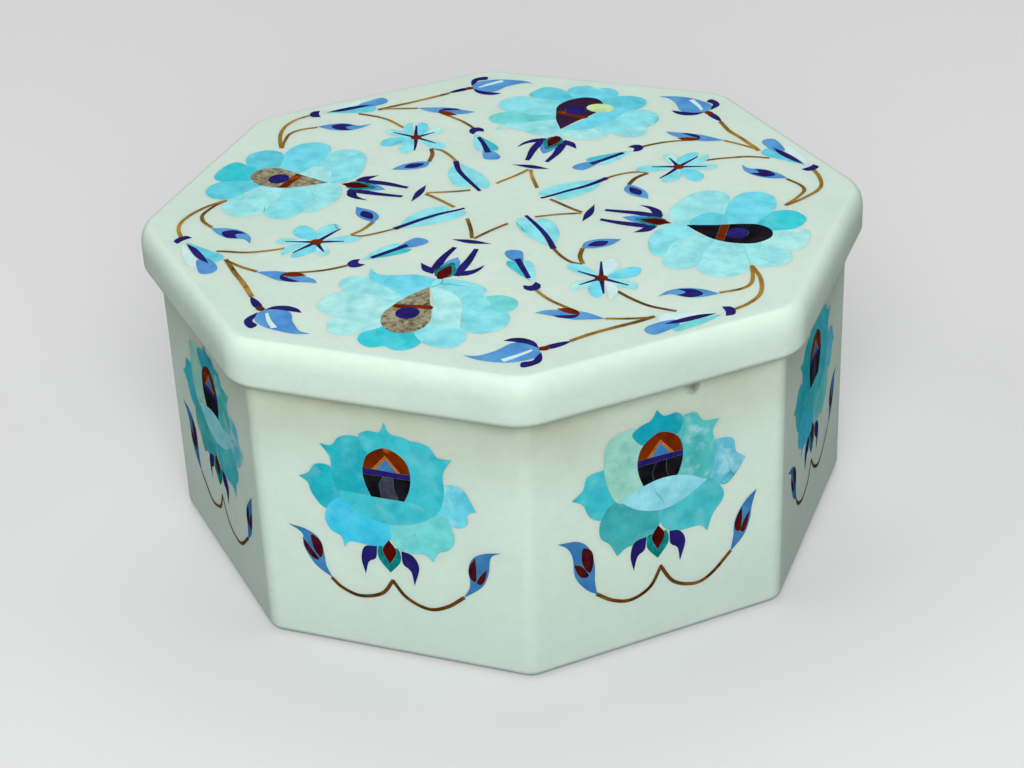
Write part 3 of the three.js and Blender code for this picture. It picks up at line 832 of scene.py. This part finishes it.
def cut_stones(field, half_joint, depth):
    """One closed solid for each stone: {piece: [(finish, vertices, faces)]}, in metres."""
    owned = defaultdict(list)
    for triangle, owner in zip(field.triangles, field.owners):
        if owner >= 0:
            owned[owner].append(triangle)
    pieces = defaultdict(list)
    for owner in sorted(owned):
        stone = field.stones[owner]
        edges = set()
        for t in owned[owner]:
            edges.update(zip(t, [*t[1:], t[0]]))
        rim = [(a, b) for a, b in sorted(edges) if (b, a) not in edges]
        inward = defaultdict(lambda: Vector((0, 0)))
        for a, b in rim:
            way = (field.points[b] - field.points[a]).normalized()
            for i in (a, b):
                inward[i] += Vector((-way.y, way.x))
        number, top, bottom = {}, [], []
        for t in owned[owner]:
            for i in t:
                if i not in number:
                    number[i] = len(number)
                    pull = inward.get(i, Vector((0, 0)))
                    pull = pull * half_joint / max(pull.length_squared, 1) if pull.length else pull
                    x, y = field.points[i] + pull
                    top.append(field.place(x, y, 0) * MM)
                    bottom.append(field.place(x, y, -depth) * MM)
        under = len(number)
        faces = [tuple(number[i] for i in t) for t in owned[owner]]
        faces += [tuple(number[i] + under for i in t[::-1]) for t in owned[owner]]
        for a, b in rim:
            a, b = number[a], number[b]
            faces.append((b, a, a + under, b + under))
        pieces[stone.piece].append((stone.finish, top + bottom, faces))
    return pieces


def stone_object(name, stones):
    """The stones of one motif as one object, each stone with its own finish and grain."""
    vertices, faces, slots, tints, grains = [], [], [], [], []
    cells_per_metre = 1000
    names = sorted({material_name(finish) for finish, _, _ in stones})
    for number, (finish, corners, polygons) in enumerate(stones):
        start = len(vertices)
        vertices += corners
        faces += [tuple(i + start for i in f) for f in polygons]
        slots += [names.index(material_name(finish))] * len(polygons)
        tint = linear((TURQUOISE_SHADES | CRACKLED_SHADES).get(finish, "#FFFFFF"))
        grain = noise.cell(corners[0] * cells_per_metre + Vector((number, 0, 0)))
        tints += [(*tint, 1.0)] * len(corners)
        grains += [grain] * len(corners)
    data = bpy.data.meshes.new(name)
    data.from_pydata(vertices, [], faces)
    data.polygons.foreach_set("material_index", slots)
    tint = data.attributes.new("stone_tint", "FLOAT_COLOR", "POINT")
    tint.data.foreach_set("color", [c for t in tints for c in t])
    grain = data.attributes.new("stone_grain", "FLOAT", "POINT")
    grain.data.foreach_set("value", grains)
    for material in names:
        data.materials.append(MATERIALS[material]())
    data.update()
    return link(name, data)


# Materials. Pattern sizes are real ones, in millimetres.


def per_mm(millimetres):
    """The texture scale whose features are that large, for coordinates in metres."""
    return 1 / (millimetres * MM)


def add(tree, kind, inputs=(), stops=(), **settings):
    """Adds a node. Inputs are values, outputs to link, or nodes, whose first output is linked.

    Stops are a ramp's places and colours.
    """
    node = tree.nodes.new(kind)
    for name, value in settings.items():
        setattr(node, name, value)
    for name, value in dict(inputs).items():
        if isinstance(value, bpy.types.Node):
            value = value.outputs[0]
        if isinstance(value, bpy.types.NodeSocket):
            tree.links.new(value, node.inputs[name])
        else:
            node.inputs[name].default_value = value
    for i, (place, shade) in enumerate(stops):
        ramp = node.color_ramp.elements
        element = ramp[i] if i < len(ramp) else ramp.new(place)
        element.position = place
        element.color = (*shade, 1) if isinstance(shade, tuple) else (shade, shade, shade, 1)
    return node


def material(name, roughness, ior, **sockets):
    """A new material with its nodes, its shader and its object coordinates."""
    made = bpy.data.materials.new(name)
    made.use_nodes = True
    tree = made.node_tree
    shader = tree.nodes["Principled BSDF"]
    shader.inputs["Roughness"].default_value = roughness
    shader.inputs["IOR"].default_value = ior
    for socket, value in sockets.items():
        shader.inputs[socket.replace("_", " ")].default_value = value
    place = add(tree, "ShaderNodeTexCoord").outputs["Object"]
    return made, tree, shader, place


def rgba(shade):
    return (*shade, 1)


def chosen(name):
    """The colour that the sidebar has under that name."""
    return tuple(getattr(bpy.context.scene.marble_box_colours, name))


@cache
def marble():
    """White marble, sawn and polished by hand.

    It gives the eye a milky surface that light sinks into, with greyer clouds and a sugary grain.
    Just under the lid it is darkened with olive, partly dirt and partly painted shadow of the lid's
    overhang, and towards the foot it is greyed with painted shade.
    """
    made, tree, shader, place = material("polished_white_marble", 0.34, 1.49, Subsurface_Weight=0.35,
                                         Subsurface_Scale=0.003, Specular_IOR_Level=0.2)
    shader.inputs["Subsurface Radius"].default_value = (1.0, 0.95, 0.85)
    clouds = add(tree, "ShaderNodeTexNoise", {"Vector": place, "Scale": per_mm(26), "Detail": 6,
                                              "Roughness": 0.6, "Distortion": 0.4})
    cloudy = add(tree, "ShaderNodeValToRGB", {"Fac": clouds}, [(0.42, 0.0), (0.78, 0.5)])
    base = add(tree, "ShaderNodeMixRGB", {"Fac": cloudy, "Color1": rgba(chosen("marble")),
                                          "Color2": rgba(chosen("marble_cloud"))})
    sugar = add(tree, "ShaderNodeTexVoronoi", {"Vector": place, "Scale": per_mm(1.3)})
    light = add(tree, "ShaderNodeSeparateColor", {"Color": sugar.outputs["Color"]})
    grain = add(tree, "ShaderNodeMapRange", {"Value": light, "To Min": 0.98, "To Max": 1.01})
    grainy = add(tree, "ShaderNodeVectorMath", {0: base, "Scale": grain}, operation="SCALE")
    height = add(tree, "ShaderNodeSeparateXYZ", {"Vector": place})
    # Olive darkening over the 16 mm under the lid, broken up by noise: partly dirt, partly painted shadow of
    # the lid's overhang
    dirt_and_shade_noise = add(tree, "ShaderNodeTexNoise", {"Vector": place, "Scale": per_mm(14), "Detail": 5})
    dirt_and_shade_reach = 16
    near_lid = add(tree, "ShaderNodeMapRange", {"Value": height.outputs["Z"],
                                                "From Min": (BOX_TOP - dirt_and_shade_reach) * MM,
                                                "From Max": BOX_TOP * MM})
    below_lid = add(tree, "ShaderNodeMath", {0: height.outputs["Z"], 1: BOX_TOP * MM},
                    operation="LESS_THAN")
    dirt_and_shade = add(tree, "ShaderNodeMath", {0: near_lid, 1: dirt_and_shade_noise}, operation="MULTIPLY")
    dirt_and_shade_below_lid = add(tree, "ShaderNodeMath", {0: dirt_and_shade, 1: below_lid}, operation="MULTIPLY")
    # Mixed towards olive grey there: dirt and painted shadow together
    dirtied_and_shaded = add(tree, "ShaderNodeMixRGB", {"Fac": dirt_and_shade_below_lid, "Color1": grainy,
                                            "Color2": rgba(linear("#ACAD8C"))})
    # Painted shade: the marble is mixed up to 40% towards blue grey at the foot, fading out 20 mm up
    foot_shade = add(tree, "ShaderNodeMapRange", {"Value": height.outputs["Z"], "From Max": 20 * MM,
                                                 "To Min": 0.4, "To Max": 0.0})
    foot_shaded = add(tree, "ShaderNodeMixRGB", {"Fac": foot_shade, "Color1": dirtied_and_shaded,
                                            "Color2": rgba(linear("#BACCCB"))})
    spot_place = (47.6 * MM, -37.7 * MM, 50.3 * MM)
    away = add(tree, "ShaderNodeVectorMath", {0: place, 1: spot_place}, operation="DISTANCE")
    spot_edge = add(tree, "ShaderNodeTexNoise", {"Vector": place, "Scale": per_mm(1.2)})
    ragged = add(tree, "ShaderNodeMath", {0: spot_edge, 1: 2.2 * MM, 2: away.outputs["Value"]},
                 operation="MULTIPLY_ADD")
    spot = add(tree, "ShaderNodeMapRange", {"Value": ragged, "From Min": 1.3 * MM, "From Max": 2.8 * MM,
                                            "To Min": 0.85, "To Max": 0.0})
    spotted = add(tree, "ShaderNodeMixRGB", {"Fac": spot, "Color1": foot_shaded,
                                             "Color2": rgba(linear("#6E6648"))})
    tree.links.new(spotted.outputs["Color"], shader.inputs["Base Color"])
    polish = add(tree, "ShaderNodeTexNoise", {"Vector": place, "Scale": per_mm(9), "Detail": 4})
    worn = add(tree, "ShaderNodeMapRange", {"Value": polish, "To Min": 0.34, "To Max": 0.52})
    tree.links.new(worn.outputs["Result"], shader.inputs["Roughness"])
    waves = add(tree, "ShaderNodeTexNoise", {"Vector": place, "Scale": per_mm(6), "Detail": 6,
                                             "Roughness": 0.65})
    bump = add(tree, "ShaderNodeBump", {"Height": waves, "Strength": 0.12, "Distance": 0.0002})
    tree.links.new(bump.outputs["Normal"], shader.inputs["Normal"])
    return made


@cache
def cement():
    """White cement mixed with marble dust, rubbed flat: dull and slightly grey in the joints."""
    made, tree, shader, place = material("rubbed_white_cement", 0.8, 1.5)
    dust = add(tree, "ShaderNodeTexNoise", {"Vector": place, "Scale": per_mm(1.5), "Detail": 3})
    dark = tuple(c * 0.8 for c in chosen("cement"))
    shade = add(tree, "ShaderNodeValToRGB", {"Fac": dust}, [(0.3, dark), (0.7, chosen("cement"))])
    tree.links.new(shade.outputs["Color"], shader.inputs["Base Color"])
    return made


def mottled(name, tint, dark, patch, roughness, ior, contrast=0.5, flecks=None, fleck_size=1.5):
    """A polished stone with darker patches, and flecks of another colour where it has any.

    Its grain is shifted for each stone, so that no two stones that meet run on into each other.
    A rubbed polish without wax reflects less than glass does, so its specular level is low.
    """
    made, tree, shader, place = material(name, roughness, ior, Specular_IOR_Level=0.06)
    grain = add(tree, "ShaderNodeAttribute", attribute_name="stone_grain").outputs["Fac"]
    stone_shift = (0.31, 0.17, 0.23)
    place = add(tree, "ShaderNodeVectorMath", {0: grain, 1: stone_shift, 2: place},
                operation="MULTIPLY_ADD").outputs[0]
    shift = add(tree, "ShaderNodeMath", {0: grain, 1: 40.0}, operation="MULTIPLY")
    cloud = add(tree, "ShaderNodeTexNoise", {"Vector": place, "W": shift, "Scale": per_mm(patch),
                                             "Detail": 5, "Roughness": 0.6}, noise_dimensions="4D")
    patches = add(tree, "ShaderNodeValToRGB", {"Fac": cloud}, [(0.38, 0.0), (0.68, contrast)])
    if tint is None:
        tint = add(tree, "ShaderNodeAttribute", attribute_name="stone_tint")
        darker = add(tree, "ShaderNodeMixRGB", {"Fac": 1.0, "Color1": tint, "Color2": rgba(dark)},
                     blend_type="MULTIPLY")
    else:
        tint, darker = rgba(tint), rgba(dark)
    mixed = add(tree, "ShaderNodeMixRGB", {"Fac": patches, "Color1": tint, "Color2": darker})
    if flecks is not None:
        spots = add(tree, "ShaderNodeTexNoise", {"Vector": place, "W": shift, "Scale": per_mm(fleck_size),
                                                 "Detail": 3}, noise_dimensions="4D")
        spotty = add(tree, "ShaderNodeValToRGB", {"Fac": spots}, [(0.6, 0.0), (0.68, 0.8)])
        mixed = add(tree, "ShaderNodeMixRGB", {"Fac": spotty, "Color1": mixed, "Color2": rgba(flecks)})
    tree.links.new(mixed.outputs["Color"], shader.inputs["Base Color"])
    return made, tree, place, mixed


def veined_turquoise(name, blotch, blotchiness, vein, vein_share):
    """Turquoise, sawn thin and polished: opaque and waxy, with paler blotches and thin dark veins."""
    made, tree, place, mixed = mottled(name, None, linear("#A8D2DA"), 3.2, 0.3, 1.61, 0.7)
    pale = add(tree, "ShaderNodeTexNoise", {"Vector": place, "Scale": per_mm(blotch), "Detail": 4})
    paler = add(tree, "ShaderNodeMapRange", {"Value": pale, "From Min": 0.48, "From Max": 0.7,
                                             "To Max": blotchiness})
    blotched = add(tree, "ShaderNodeMixRGB", {"Fac": paler, "Color1": mixed,
                                              "Color2": rgba(linear("#C4F2F4"))})
    bent = add(tree, "ShaderNodeTexNoise", {"Vector": place, "Scale": per_mm(5), "Detail": 3})
    warped = add(tree, "ShaderNodeVectorMath", {0: bent.outputs["Color"], 1: (3 * MM,) * 3, 2: place},
                 operation="MULTIPLY_ADD")
    cells = add(tree, "ShaderNodeTexVoronoi", {"Vector": warped, "Scale": per_mm(vein)},
                feature="DISTANCE_TO_EDGE")
    line = add(tree, "ShaderNodeMapRange", {"Value": cells, "From Max": 0.022, "To Min": 0.75,
                                            "To Max": 0.0})
    rare = add(tree, "ShaderNodeTexNoise", {"Vector": place, "Scale": per_mm(14), "Detail": 1})
    here = add(tree, "ShaderNodeMapRange", {"Value": rare, "From Min": 0.9 - vein_share,
                                            "From Max": 1.0 - vein_share})
    matrix = add(tree, "ShaderNodeMath", {0: line, 1: here}, operation="MULTIPLY")
    veined = add(tree, "ShaderNodeMixRGB", {"Fac": matrix, "Color1": blotched,
                                            "Color2": rgba(linear("#1F5A62"))})
    shader = tree.nodes["Principled BSDF"]
    tree.links.new(veined.outputs["Color"], shader.inputs["Base Color"])
    return made


@cache
def turquoise():
    """Even turquoise, polished: only here and there a blotch or a vein."""
    return veined_turquoise("polished_turquoise", 4, 0.14, 9, 0.28)


@cache
def crackled_turquoise():
    """Crackled turquoise, polished: blotched with white, and veined."""
    return veined_turquoise("polished_crackled_turquoise", 3.2, 0.6, 6, 0.42)


@cache
def lapis():
    """Lapis lazuli, polished: deep violet blue, slightly clouded with lighter blue."""
    return mottled("polished_lapis", chosen("lapis"), linear("#382F94"), 2.5, 0.24, 1.5)[0]


@cache
def leaf_agate():
    """Dyed blue agate, polished: clear mid blue with soft darker bands."""
    return mottled("polished_blue_agate", chosen("leaf_blue"), linear("#1F5AA6"), 3.5, 0.25, 1.54, 0.7)[0]


@cache
def tulip_agate():
    """Paler blue agate, polished: the leaves and tulips of the lid."""
    return mottled("polished_pale_blue_agate", chosen("tulip_blue"), linear("#3A78C4"), 4, 0.25, 1.54, 0.7)[0]


@cache
def carnelian():
    """Carnelian, polished: red-brown and clouded, with a glow of orange where it is thin."""
    return mottled("polished_carnelian", chosen("carnelian"), linear("#541603"), 3, 0.22, 1.54, 0.9,
                   flecks=linear("#C0620A"), fleck_size=3.4)[0]


@cache
def dark_jasper():
    """Dark red jasper, polished: nearly black and violet in its folds, red-brown at its edges."""
    return mottled("polished_dark_jasper", linear("#55180E"), linear("#1E0A2A"), 1.6, 0.24, 1.54, 1.0)[0]


@cache
def red_jasper():
    """Blood-red jasper, polished: the small diamond of each calyx."""
    return mottled("polished_red_jasper", linear("#5C0E04"), linear("#260806"), 1.4, 0.24, 1.54, 0.8)[0]


@cache
def amber_agate():
    """Honey-coloured agate, polished: a thin warm line round the blue point of each eye."""
    return mottled("polished_honey_agate", linear("#C0700F"), linear("#7A3A08"), 1.5, 0.22, 1.54, 0.6)[0]


@cache
def malachite():
    """Malachite, polished: dark green that turns blue-green in its bands."""
    return mottled("polished_malachite", chosen("malachite"), linear("#04A4AE"), 1.8, 0.24, 1.65, 0.9)[0]


@cache
def tiger_eye():
    """Tiger's eye, polished: silky brown stems with gold lengths, partly the stone's own colour and partly
    its silky sheen painted in as colour.
    """
    return mottled("polished_tigers_eye", chosen("tiger_eye"), chosen("tiger_gold"), 9, 0.28, 1.54,
                   1.0, flecks=linear("#2E1606"), fleck_size=3)[0]


@cache
def dark_tiger_eye():
    """Dark tiger's eye, polished: brown stems with short gold lengths, partly the stone's own colour and
    partly its sheen painted in as colour.
    """
    return mottled("polished_dark_tigers_eye", linear("#4A2A0E"), linear("#94681C"), 6, 0.28, 1.54, 0.7,
                   flecks=linear("#241004"), fleck_size=3)[0]


@cache
def onyx():
    """Black onyx, polished: nearly black, with a faint grey cloud."""
    return mottled("polished_black_onyx", chosen("onyx"), linear("#2C2C36"), 3, 0.2, 1.49, 0.6)[0]


@cache
def smoky_agate():
    """Smoky agate, polished: a half-clear grey streak beside the onyx."""
    return mottled("polished_smoky_agate", linear("#2A2C38"), linear("#4A5060"), 2, 0.22, 1.54, 0.9)[0]


@cache
def granite():
    """Fine granite, polished: olive grey, speckled with black."""
    return mottled("polished_granite", linear("#B0A98A"), linear("#4A4334"), 0.9, 0.3, 1.52, 1.0,
                   flecks=linear("#0E0C0A"), fleck_size=1.2)[0]


@cache
def violet_jasper():
    """Violet-brown jasper, polished: the dark eye of the flower at the back."""
    return mottled("polished_violet_jasper", linear("#33204C"), linear("#3A1A12"), 2.5, 0.24, 1.54, 0.9)[0]


@cache
def shell():
    """Mother of pearl, polished: white, with a faint play of blue and green."""
    return mottled("polished_mother_of_pearl", chosen("shell"), linear("#B6E4EC"), 3, 0.22, 1.53, 0.7)[0]


MATERIALS = {
    "turquoise": turquoise,
    "crackled_turquoise": crackled_turquoise,
    "lapis": lapis,
    "leaf": leaf_agate,
    "tulip_leaf": tulip_agate,
    "carnelian": carnelian,
    "jasper": dark_jasper,
    "red": red_jasper,
    "amber": amber_agate,
    "malachite": malachite,
    "stem": tiger_eye,
    "dark_stem": dark_tiger_eye,
    "onyx": onyx,
    "smoke": smoky_agate,
    "granite": granite,
    "violet": violet_jasper,
    "shell": shell,
}


def material_name(finish):
    """The entry of MATERIALS for a finish, which may be a shade of turquoise."""
    if finish in CRACKLED_SHADES:
        return "crackled_turquoise"
    return "turquoise" if finish in TURQUOISE_SHADES else finish


# Operators, one for each piece or group of like pieces


class MARBLEBOX_OT_box(bpy.types.Operator):
    """Build the hollow marble box, with shallow beds where its side stones lie"""

    bl_idname = "marblebox.box"
    bl_label = "Marble box"

    def execute(self, context):
        sizes = context.scene.marble_box_sizes
        corner, foot, rim = sizes.corner_round / MM, sizes.foot_round / MM, sizes.rim_round / MM
        wall, floor, fillet = sizes.wall / MM, sizes.floor / MM, sizes.floor_fillet / MM
        body = Marble()
        borders = [body.polished(side_face(i), sizes.joint_depth / MM) for i in range(SIDES)]
        edge = octagon(BOX_WIDTH, corner)
        per_side = FLATS + CORNER
        strips = []
        for side in range(SIDES):
            right = borders[side][FLATS : FLATS + ROWS + 1]
            after = borders[(side + 1) % SIDES]
            left = [after[0], *after[: -ROWS : -1], after[2 * FLATS + ROWS]]
            columns = [right]
            for k in range(1, CORNER):
                p = edge[side * per_side + FLATS + k]
                columns.append([body.vertex((p.x * MM, p.y * MM, v.co.z)) for v in right])
            columns.append(left)
            for a, b in zip(columns, columns[1:]):
                for r in range(ROWS):
                    body.face((a[r], b[r], b[r + 1], a[r + 1]), ROUND)
            strips.append(columns)
        low, high = [], []
        for side in range(SIDES):
            low += borders[side][: FLATS + 1] + [c[0] for c in strips[side][1:-1]]
            top = borders[side][FLATS + ROWS : 2 * FLATS + ROWS + 1]
            high += top[::-1] + [c[-1] for c in strips[side][1:-1]]
        foot_rings = [(BOX_WIDTH - 2 * inset, corner - inset, foot - drop)
                      for inset, drop in quarter_round(foot, EDGE, False)]
        body.face(body.octagons(low, foot_rings)[::-1], POLISHED)
        rings = [(BOX_WIDTH - 2 * inset, corner - inset, BOX_TOP - rim + rise)
                 for inset, rise in quarter_round(rim, EDGE // 2, False)]
        cavity = BOX_WIDTH - 2 * wall
        rings += [(cavity + 2 * inset, corner + inset, BOX_TOP - drop)
                  for inset, drop in [(rim, 0), *quarter_round(rim, EDGE // 2, True)]]
        rings += [(cavity - 2 * inset, corner - inset, floor + fillet - drop)
                  for inset, drop in [(0, 0), *quarter_round(fillet, EDGE, False)]]
        body.face(body.octagons(high, rings), POLISHED)
        piece = body.finished("marble_box", [marble(), cement()])
        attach(piece, "root")
        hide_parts("box")
        return {"FINISHED"}


class MARBLEBOX_OT_lid(bpy.types.Operator):
    """Build the lid: a hand-rounded slab with a step that drops into the box"""

    bl_idname = "marblebox.lid"
    bl_label = "Marble lid"

    def execute(self, context):
        sizes = context.scene.marble_box_sizes
        corner, thick = sizes.lid_corner_round / MM, sizes.lid_thickness / MM
        upper, under = sizes.lid_top_round / MM, sizes.lid_under_round / MM
        wave, upright_share = sizes.lid_wave / MM, 0.6
        bottom = LID_TOP - thick
        lid = Marble()
        last = lid.polished(lid_face(), sizes.joint_depth / MM)
        side_wave = wavy(seed=3.7, reach=wave * upright_share, length=24)
        under_wave = wavy(seed=9.1, reach=wave, length=17)

        def wander(points, share):
            return drawn_in(points, lambda p: side_wave(p) * share)

        squeeze = sizes.lid_top_inset / sizes.lid_top_round
        for inset, drop in quarter_round(upper, EDGE, True):
            points = octagon(LID_WIDTH - 2 * inset * squeeze, corner - inset * squeeze)
            ring = lid.ring(wander(points, 1 - inset / upper), LID_TOP - drop)
            lid.band(last, ring)
            last = ring
        squeeze = sizes.lid_under_inset / sizes.lid_under_round
        for inset, drop in [(0, 0), *quarter_round(under, EDGE, False)]:
            points = octagon(LID_WIDTH - 2 * inset * squeeze, corner - inset * squeeze)
            lift = drop / under
            ring = lid.ring(wander(points, 1 - inset / under),
                            lambda p: bottom + under - drop - under_wave(p) * lift * (1 - inset / under))
            lid.band(last, ring)
            last = ring
        step_width = BOX_WIDTH - 2 * (sizes.wall + sizes.step_clearance) / MM
        depth, soft = sizes.step_depth / MM, sizes.step_bevel / MM
        step_corner = sizes.corner_round / MM - soft
        last = lid.octagons(last, [(step_width, step_corner, bottom),
                                   (step_width, step_corner, bottom - depth + soft),
                                   (step_width - 2 * soft, step_corner, bottom - depth)])
        lid.face(last[::-1], POLISHED)
        piece = lid.finished("marble_lid", [marble(), cement()])
        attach(piece, "root")
        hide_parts("lid")
        return {"FINISHED"}


def lay_stones(context, field, slots):
    """Makes the stones of a face as one piece for each motif."""
    sizes = context.scene.marble_box_sizes
    half_joint = sizes.joint / MM / 2
    for piece, stones in cut_stones(field, half_joint, sizes.stone_depth / MM).items():
        made = stone_object(f"inlay_{piece}", stones)
        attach(made, "root")
        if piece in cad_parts:
            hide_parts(piece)
        motif = next((m for m in slots if m in piece), None)
        if motif:
            slots[motif]


class MARBLEBOX_OT_side_inlay(bpy.types.Operator):
    """Cut and lay the flowers and sprays of the eight side panels"""

    bl_idname = "marblebox.side_inlay"
    bl_label = "Side inlay"

    def execute(self, context):
        for side in range(SIDES):
            slots = {"flower_eye": "onyx", "flower": "turquoise", "spray": "lapis"}
            lay_stones(context, side_face(side), slots)
        return {"FINISHED"}


class MARBLEBOX_OT_lid_inlay(bpy.types.Operator):
    """Cut and lay the flowers, buds, tulips and scrolls of the lid"""

    bl_idname = "marblebox.lid_inlay"
    bl_label = "Lid inlay"

    def execute(self, context):
        slots = {"flower_eye": "onyx", "flower": "turquoise", "bud": "turquoise", "tulip": "lapis",
                 "calyx": "carnelian"}
        lay_stones(context, lid_face(), slots)
        return {"FINISHED"}


class MARBLEBOX_OT_stage(bpy.types.Operator):
    """Set the pale floor, the soft lights and the camera"""

    bl_idname = "marblebox.stage"
    bl_label = "Stage"

    def execute(self, context):
        scene = context.scene
        scene.view_settings.view_transform = "Standard"
        self.floor(scene)
        self.lights(scene)
        self.camera(scene)
        return {"FINISHED"}

    def floor(self, scene):
        reach = 4
        data = bpy.data.meshes.new("floor")
        corners = [(-reach, -reach, 0), (reach, -reach, 0), (reach, reach, 0), (-reach, reach, 0)]
        data.from_pydata(corners, [], [(0, 1, 2, 3)])
        made = material("matt_paper", 0.9, 1.45)[0]
        shade = rgba(scene.marble_box_colours.floor)
        made.node_tree.nodes["Principled BSDF"].inputs["Base Color"].default_value = shade
        data.materials.append(made)
        made = link("floor", data)
        made.visible_diffuse = False
        made.visible_glossy = False

    def lights(self, scene):
        middle = Vector((0, 0, 35 * MM))
        # Azimuth and elevation in degrees, distance and width in metres, power in watts
        lamps = [("key", 22, 31, 2.0, 1.7, 46.0), ("top", 200, 62, 2.2, 1.8, 16.5),
                 ("left", -64, 28, 2.0, 1.7, 9.5), ("right", 112, 25, 2.0, 1.7, 6.6)]
        for name, azimuth, elevation, distance, size, power in lamps:
            data = bpy.data.lights.new(name, "AREA")
            data.shape = "DISK"
            data.size = size
            data.energy = power
            lamp = link(name, data)
            back = facing(azimuth, elevation)
            lamp.location = middle + back * distance
            lamp.rotation_euler = back.to_track_quat("Z", "Y").to_euler()
        world = bpy.data.worlds.new("studio")
        world.use_nodes = True
        sky = world.node_tree.nodes["Background"]
        sky.inputs["Color"].default_value = rgba(linear("#E6EAF8"))
        sky.inputs["Strength"].default_value = 0.03
        scene.world = world

    def camera(self, scene):
        data = bpy.data.cameras.new("camera")
        data.sensor_width = 36
        data.lens = CAMERA_LENS
        data.clip_start, data.clip_end = 0.01, 20
        seen = link("camera", data)
        back = facing(CAMERA_AZIMUTH, CAMERA_ELEVATION)
        azimuth = math.radians(CAMERA_AZIMUTH)
        right = Vector((math.cos(azimuth), math.sin(azimuth), 0))
        turn = Matrix((right, back.cross(right), back)).transposed().to_4x4()
        roll = Matrix.Rotation(math.radians(CAMERA_ROLL), 4, "Z")
        place = (Vector(CAMERA_TARGET) + back * CAMERA_DISTANCE) * MM
        seen.matrix_world = Matrix.Translation(place) @ turn @ roll
        scene.camera = seen


def facing(azimuth, elevation):
    """The direction from the box to a place at that azimuth and elevation, in degrees."""
    a, e = math.radians(azimuth), math.radians(elevation)
    return Vector((math.sin(a) * math.cos(e), -math.cos(a) * math.cos(e), math.sin(e)))


class MARBLEBOX_PT_panel(bpy.types.Panel):
    """The marble box's steps, sizes and colours"""

    bl_idname = "MARBLEBOX_PT_panel"
    bl_label = "Marble Box"
    bl_space_type = "VIEW_3D"
    bl_region_type = "UI"
    bl_category = "Marble Box"

    def draw(self, context):
        for step in STEPS:
            self.layout.operator(step.bl_idname)
        for group in (context.scene.marble_box_sizes, context.scene.marble_box_colours):
            for name in group.bl_rna.properties.keys():
                if name not in ("rna_type", "name"):
                    self.layout.prop(group, name)


STEPS = (MARBLEBOX_OT_box, MARBLEBOX_OT_lid, MARBLEBOX_OT_side_inlay, MARBLEBOX_OT_lid_inlay,
         MARBLEBOX_OT_stage)
CLASSES = (MarbleBoxSizes, MarbleBoxColours, *STEPS, MARBLEBOX_PT_panel)


def register():
    for each in CLASSES:
        bpy.utils.register_class(each)
    bpy.types.Scene.marble_box_sizes = PointerProperty(type=MarbleBoxSizes)
    bpy.types.Scene.marble_box_colours = PointerProperty(type=MarbleBoxColours)


def unregister():
    del bpy.types.Scene.marble_box_colours
    del bpy.types.Scene.marble_box_sizes
    for each in reversed(CLASSES):
        bpy.utils.unregister_class(each)


def main():
    register()
    bpy.ops.marblebox.box()
    bpy.ops.marblebox.lid()
    bpy.ops.marblebox.side_inlay()
    bpy.ops.marblebox.lid_inlay()
    bpy.ops.marblebox.stage()


if __name__ == "__main__":
    main()
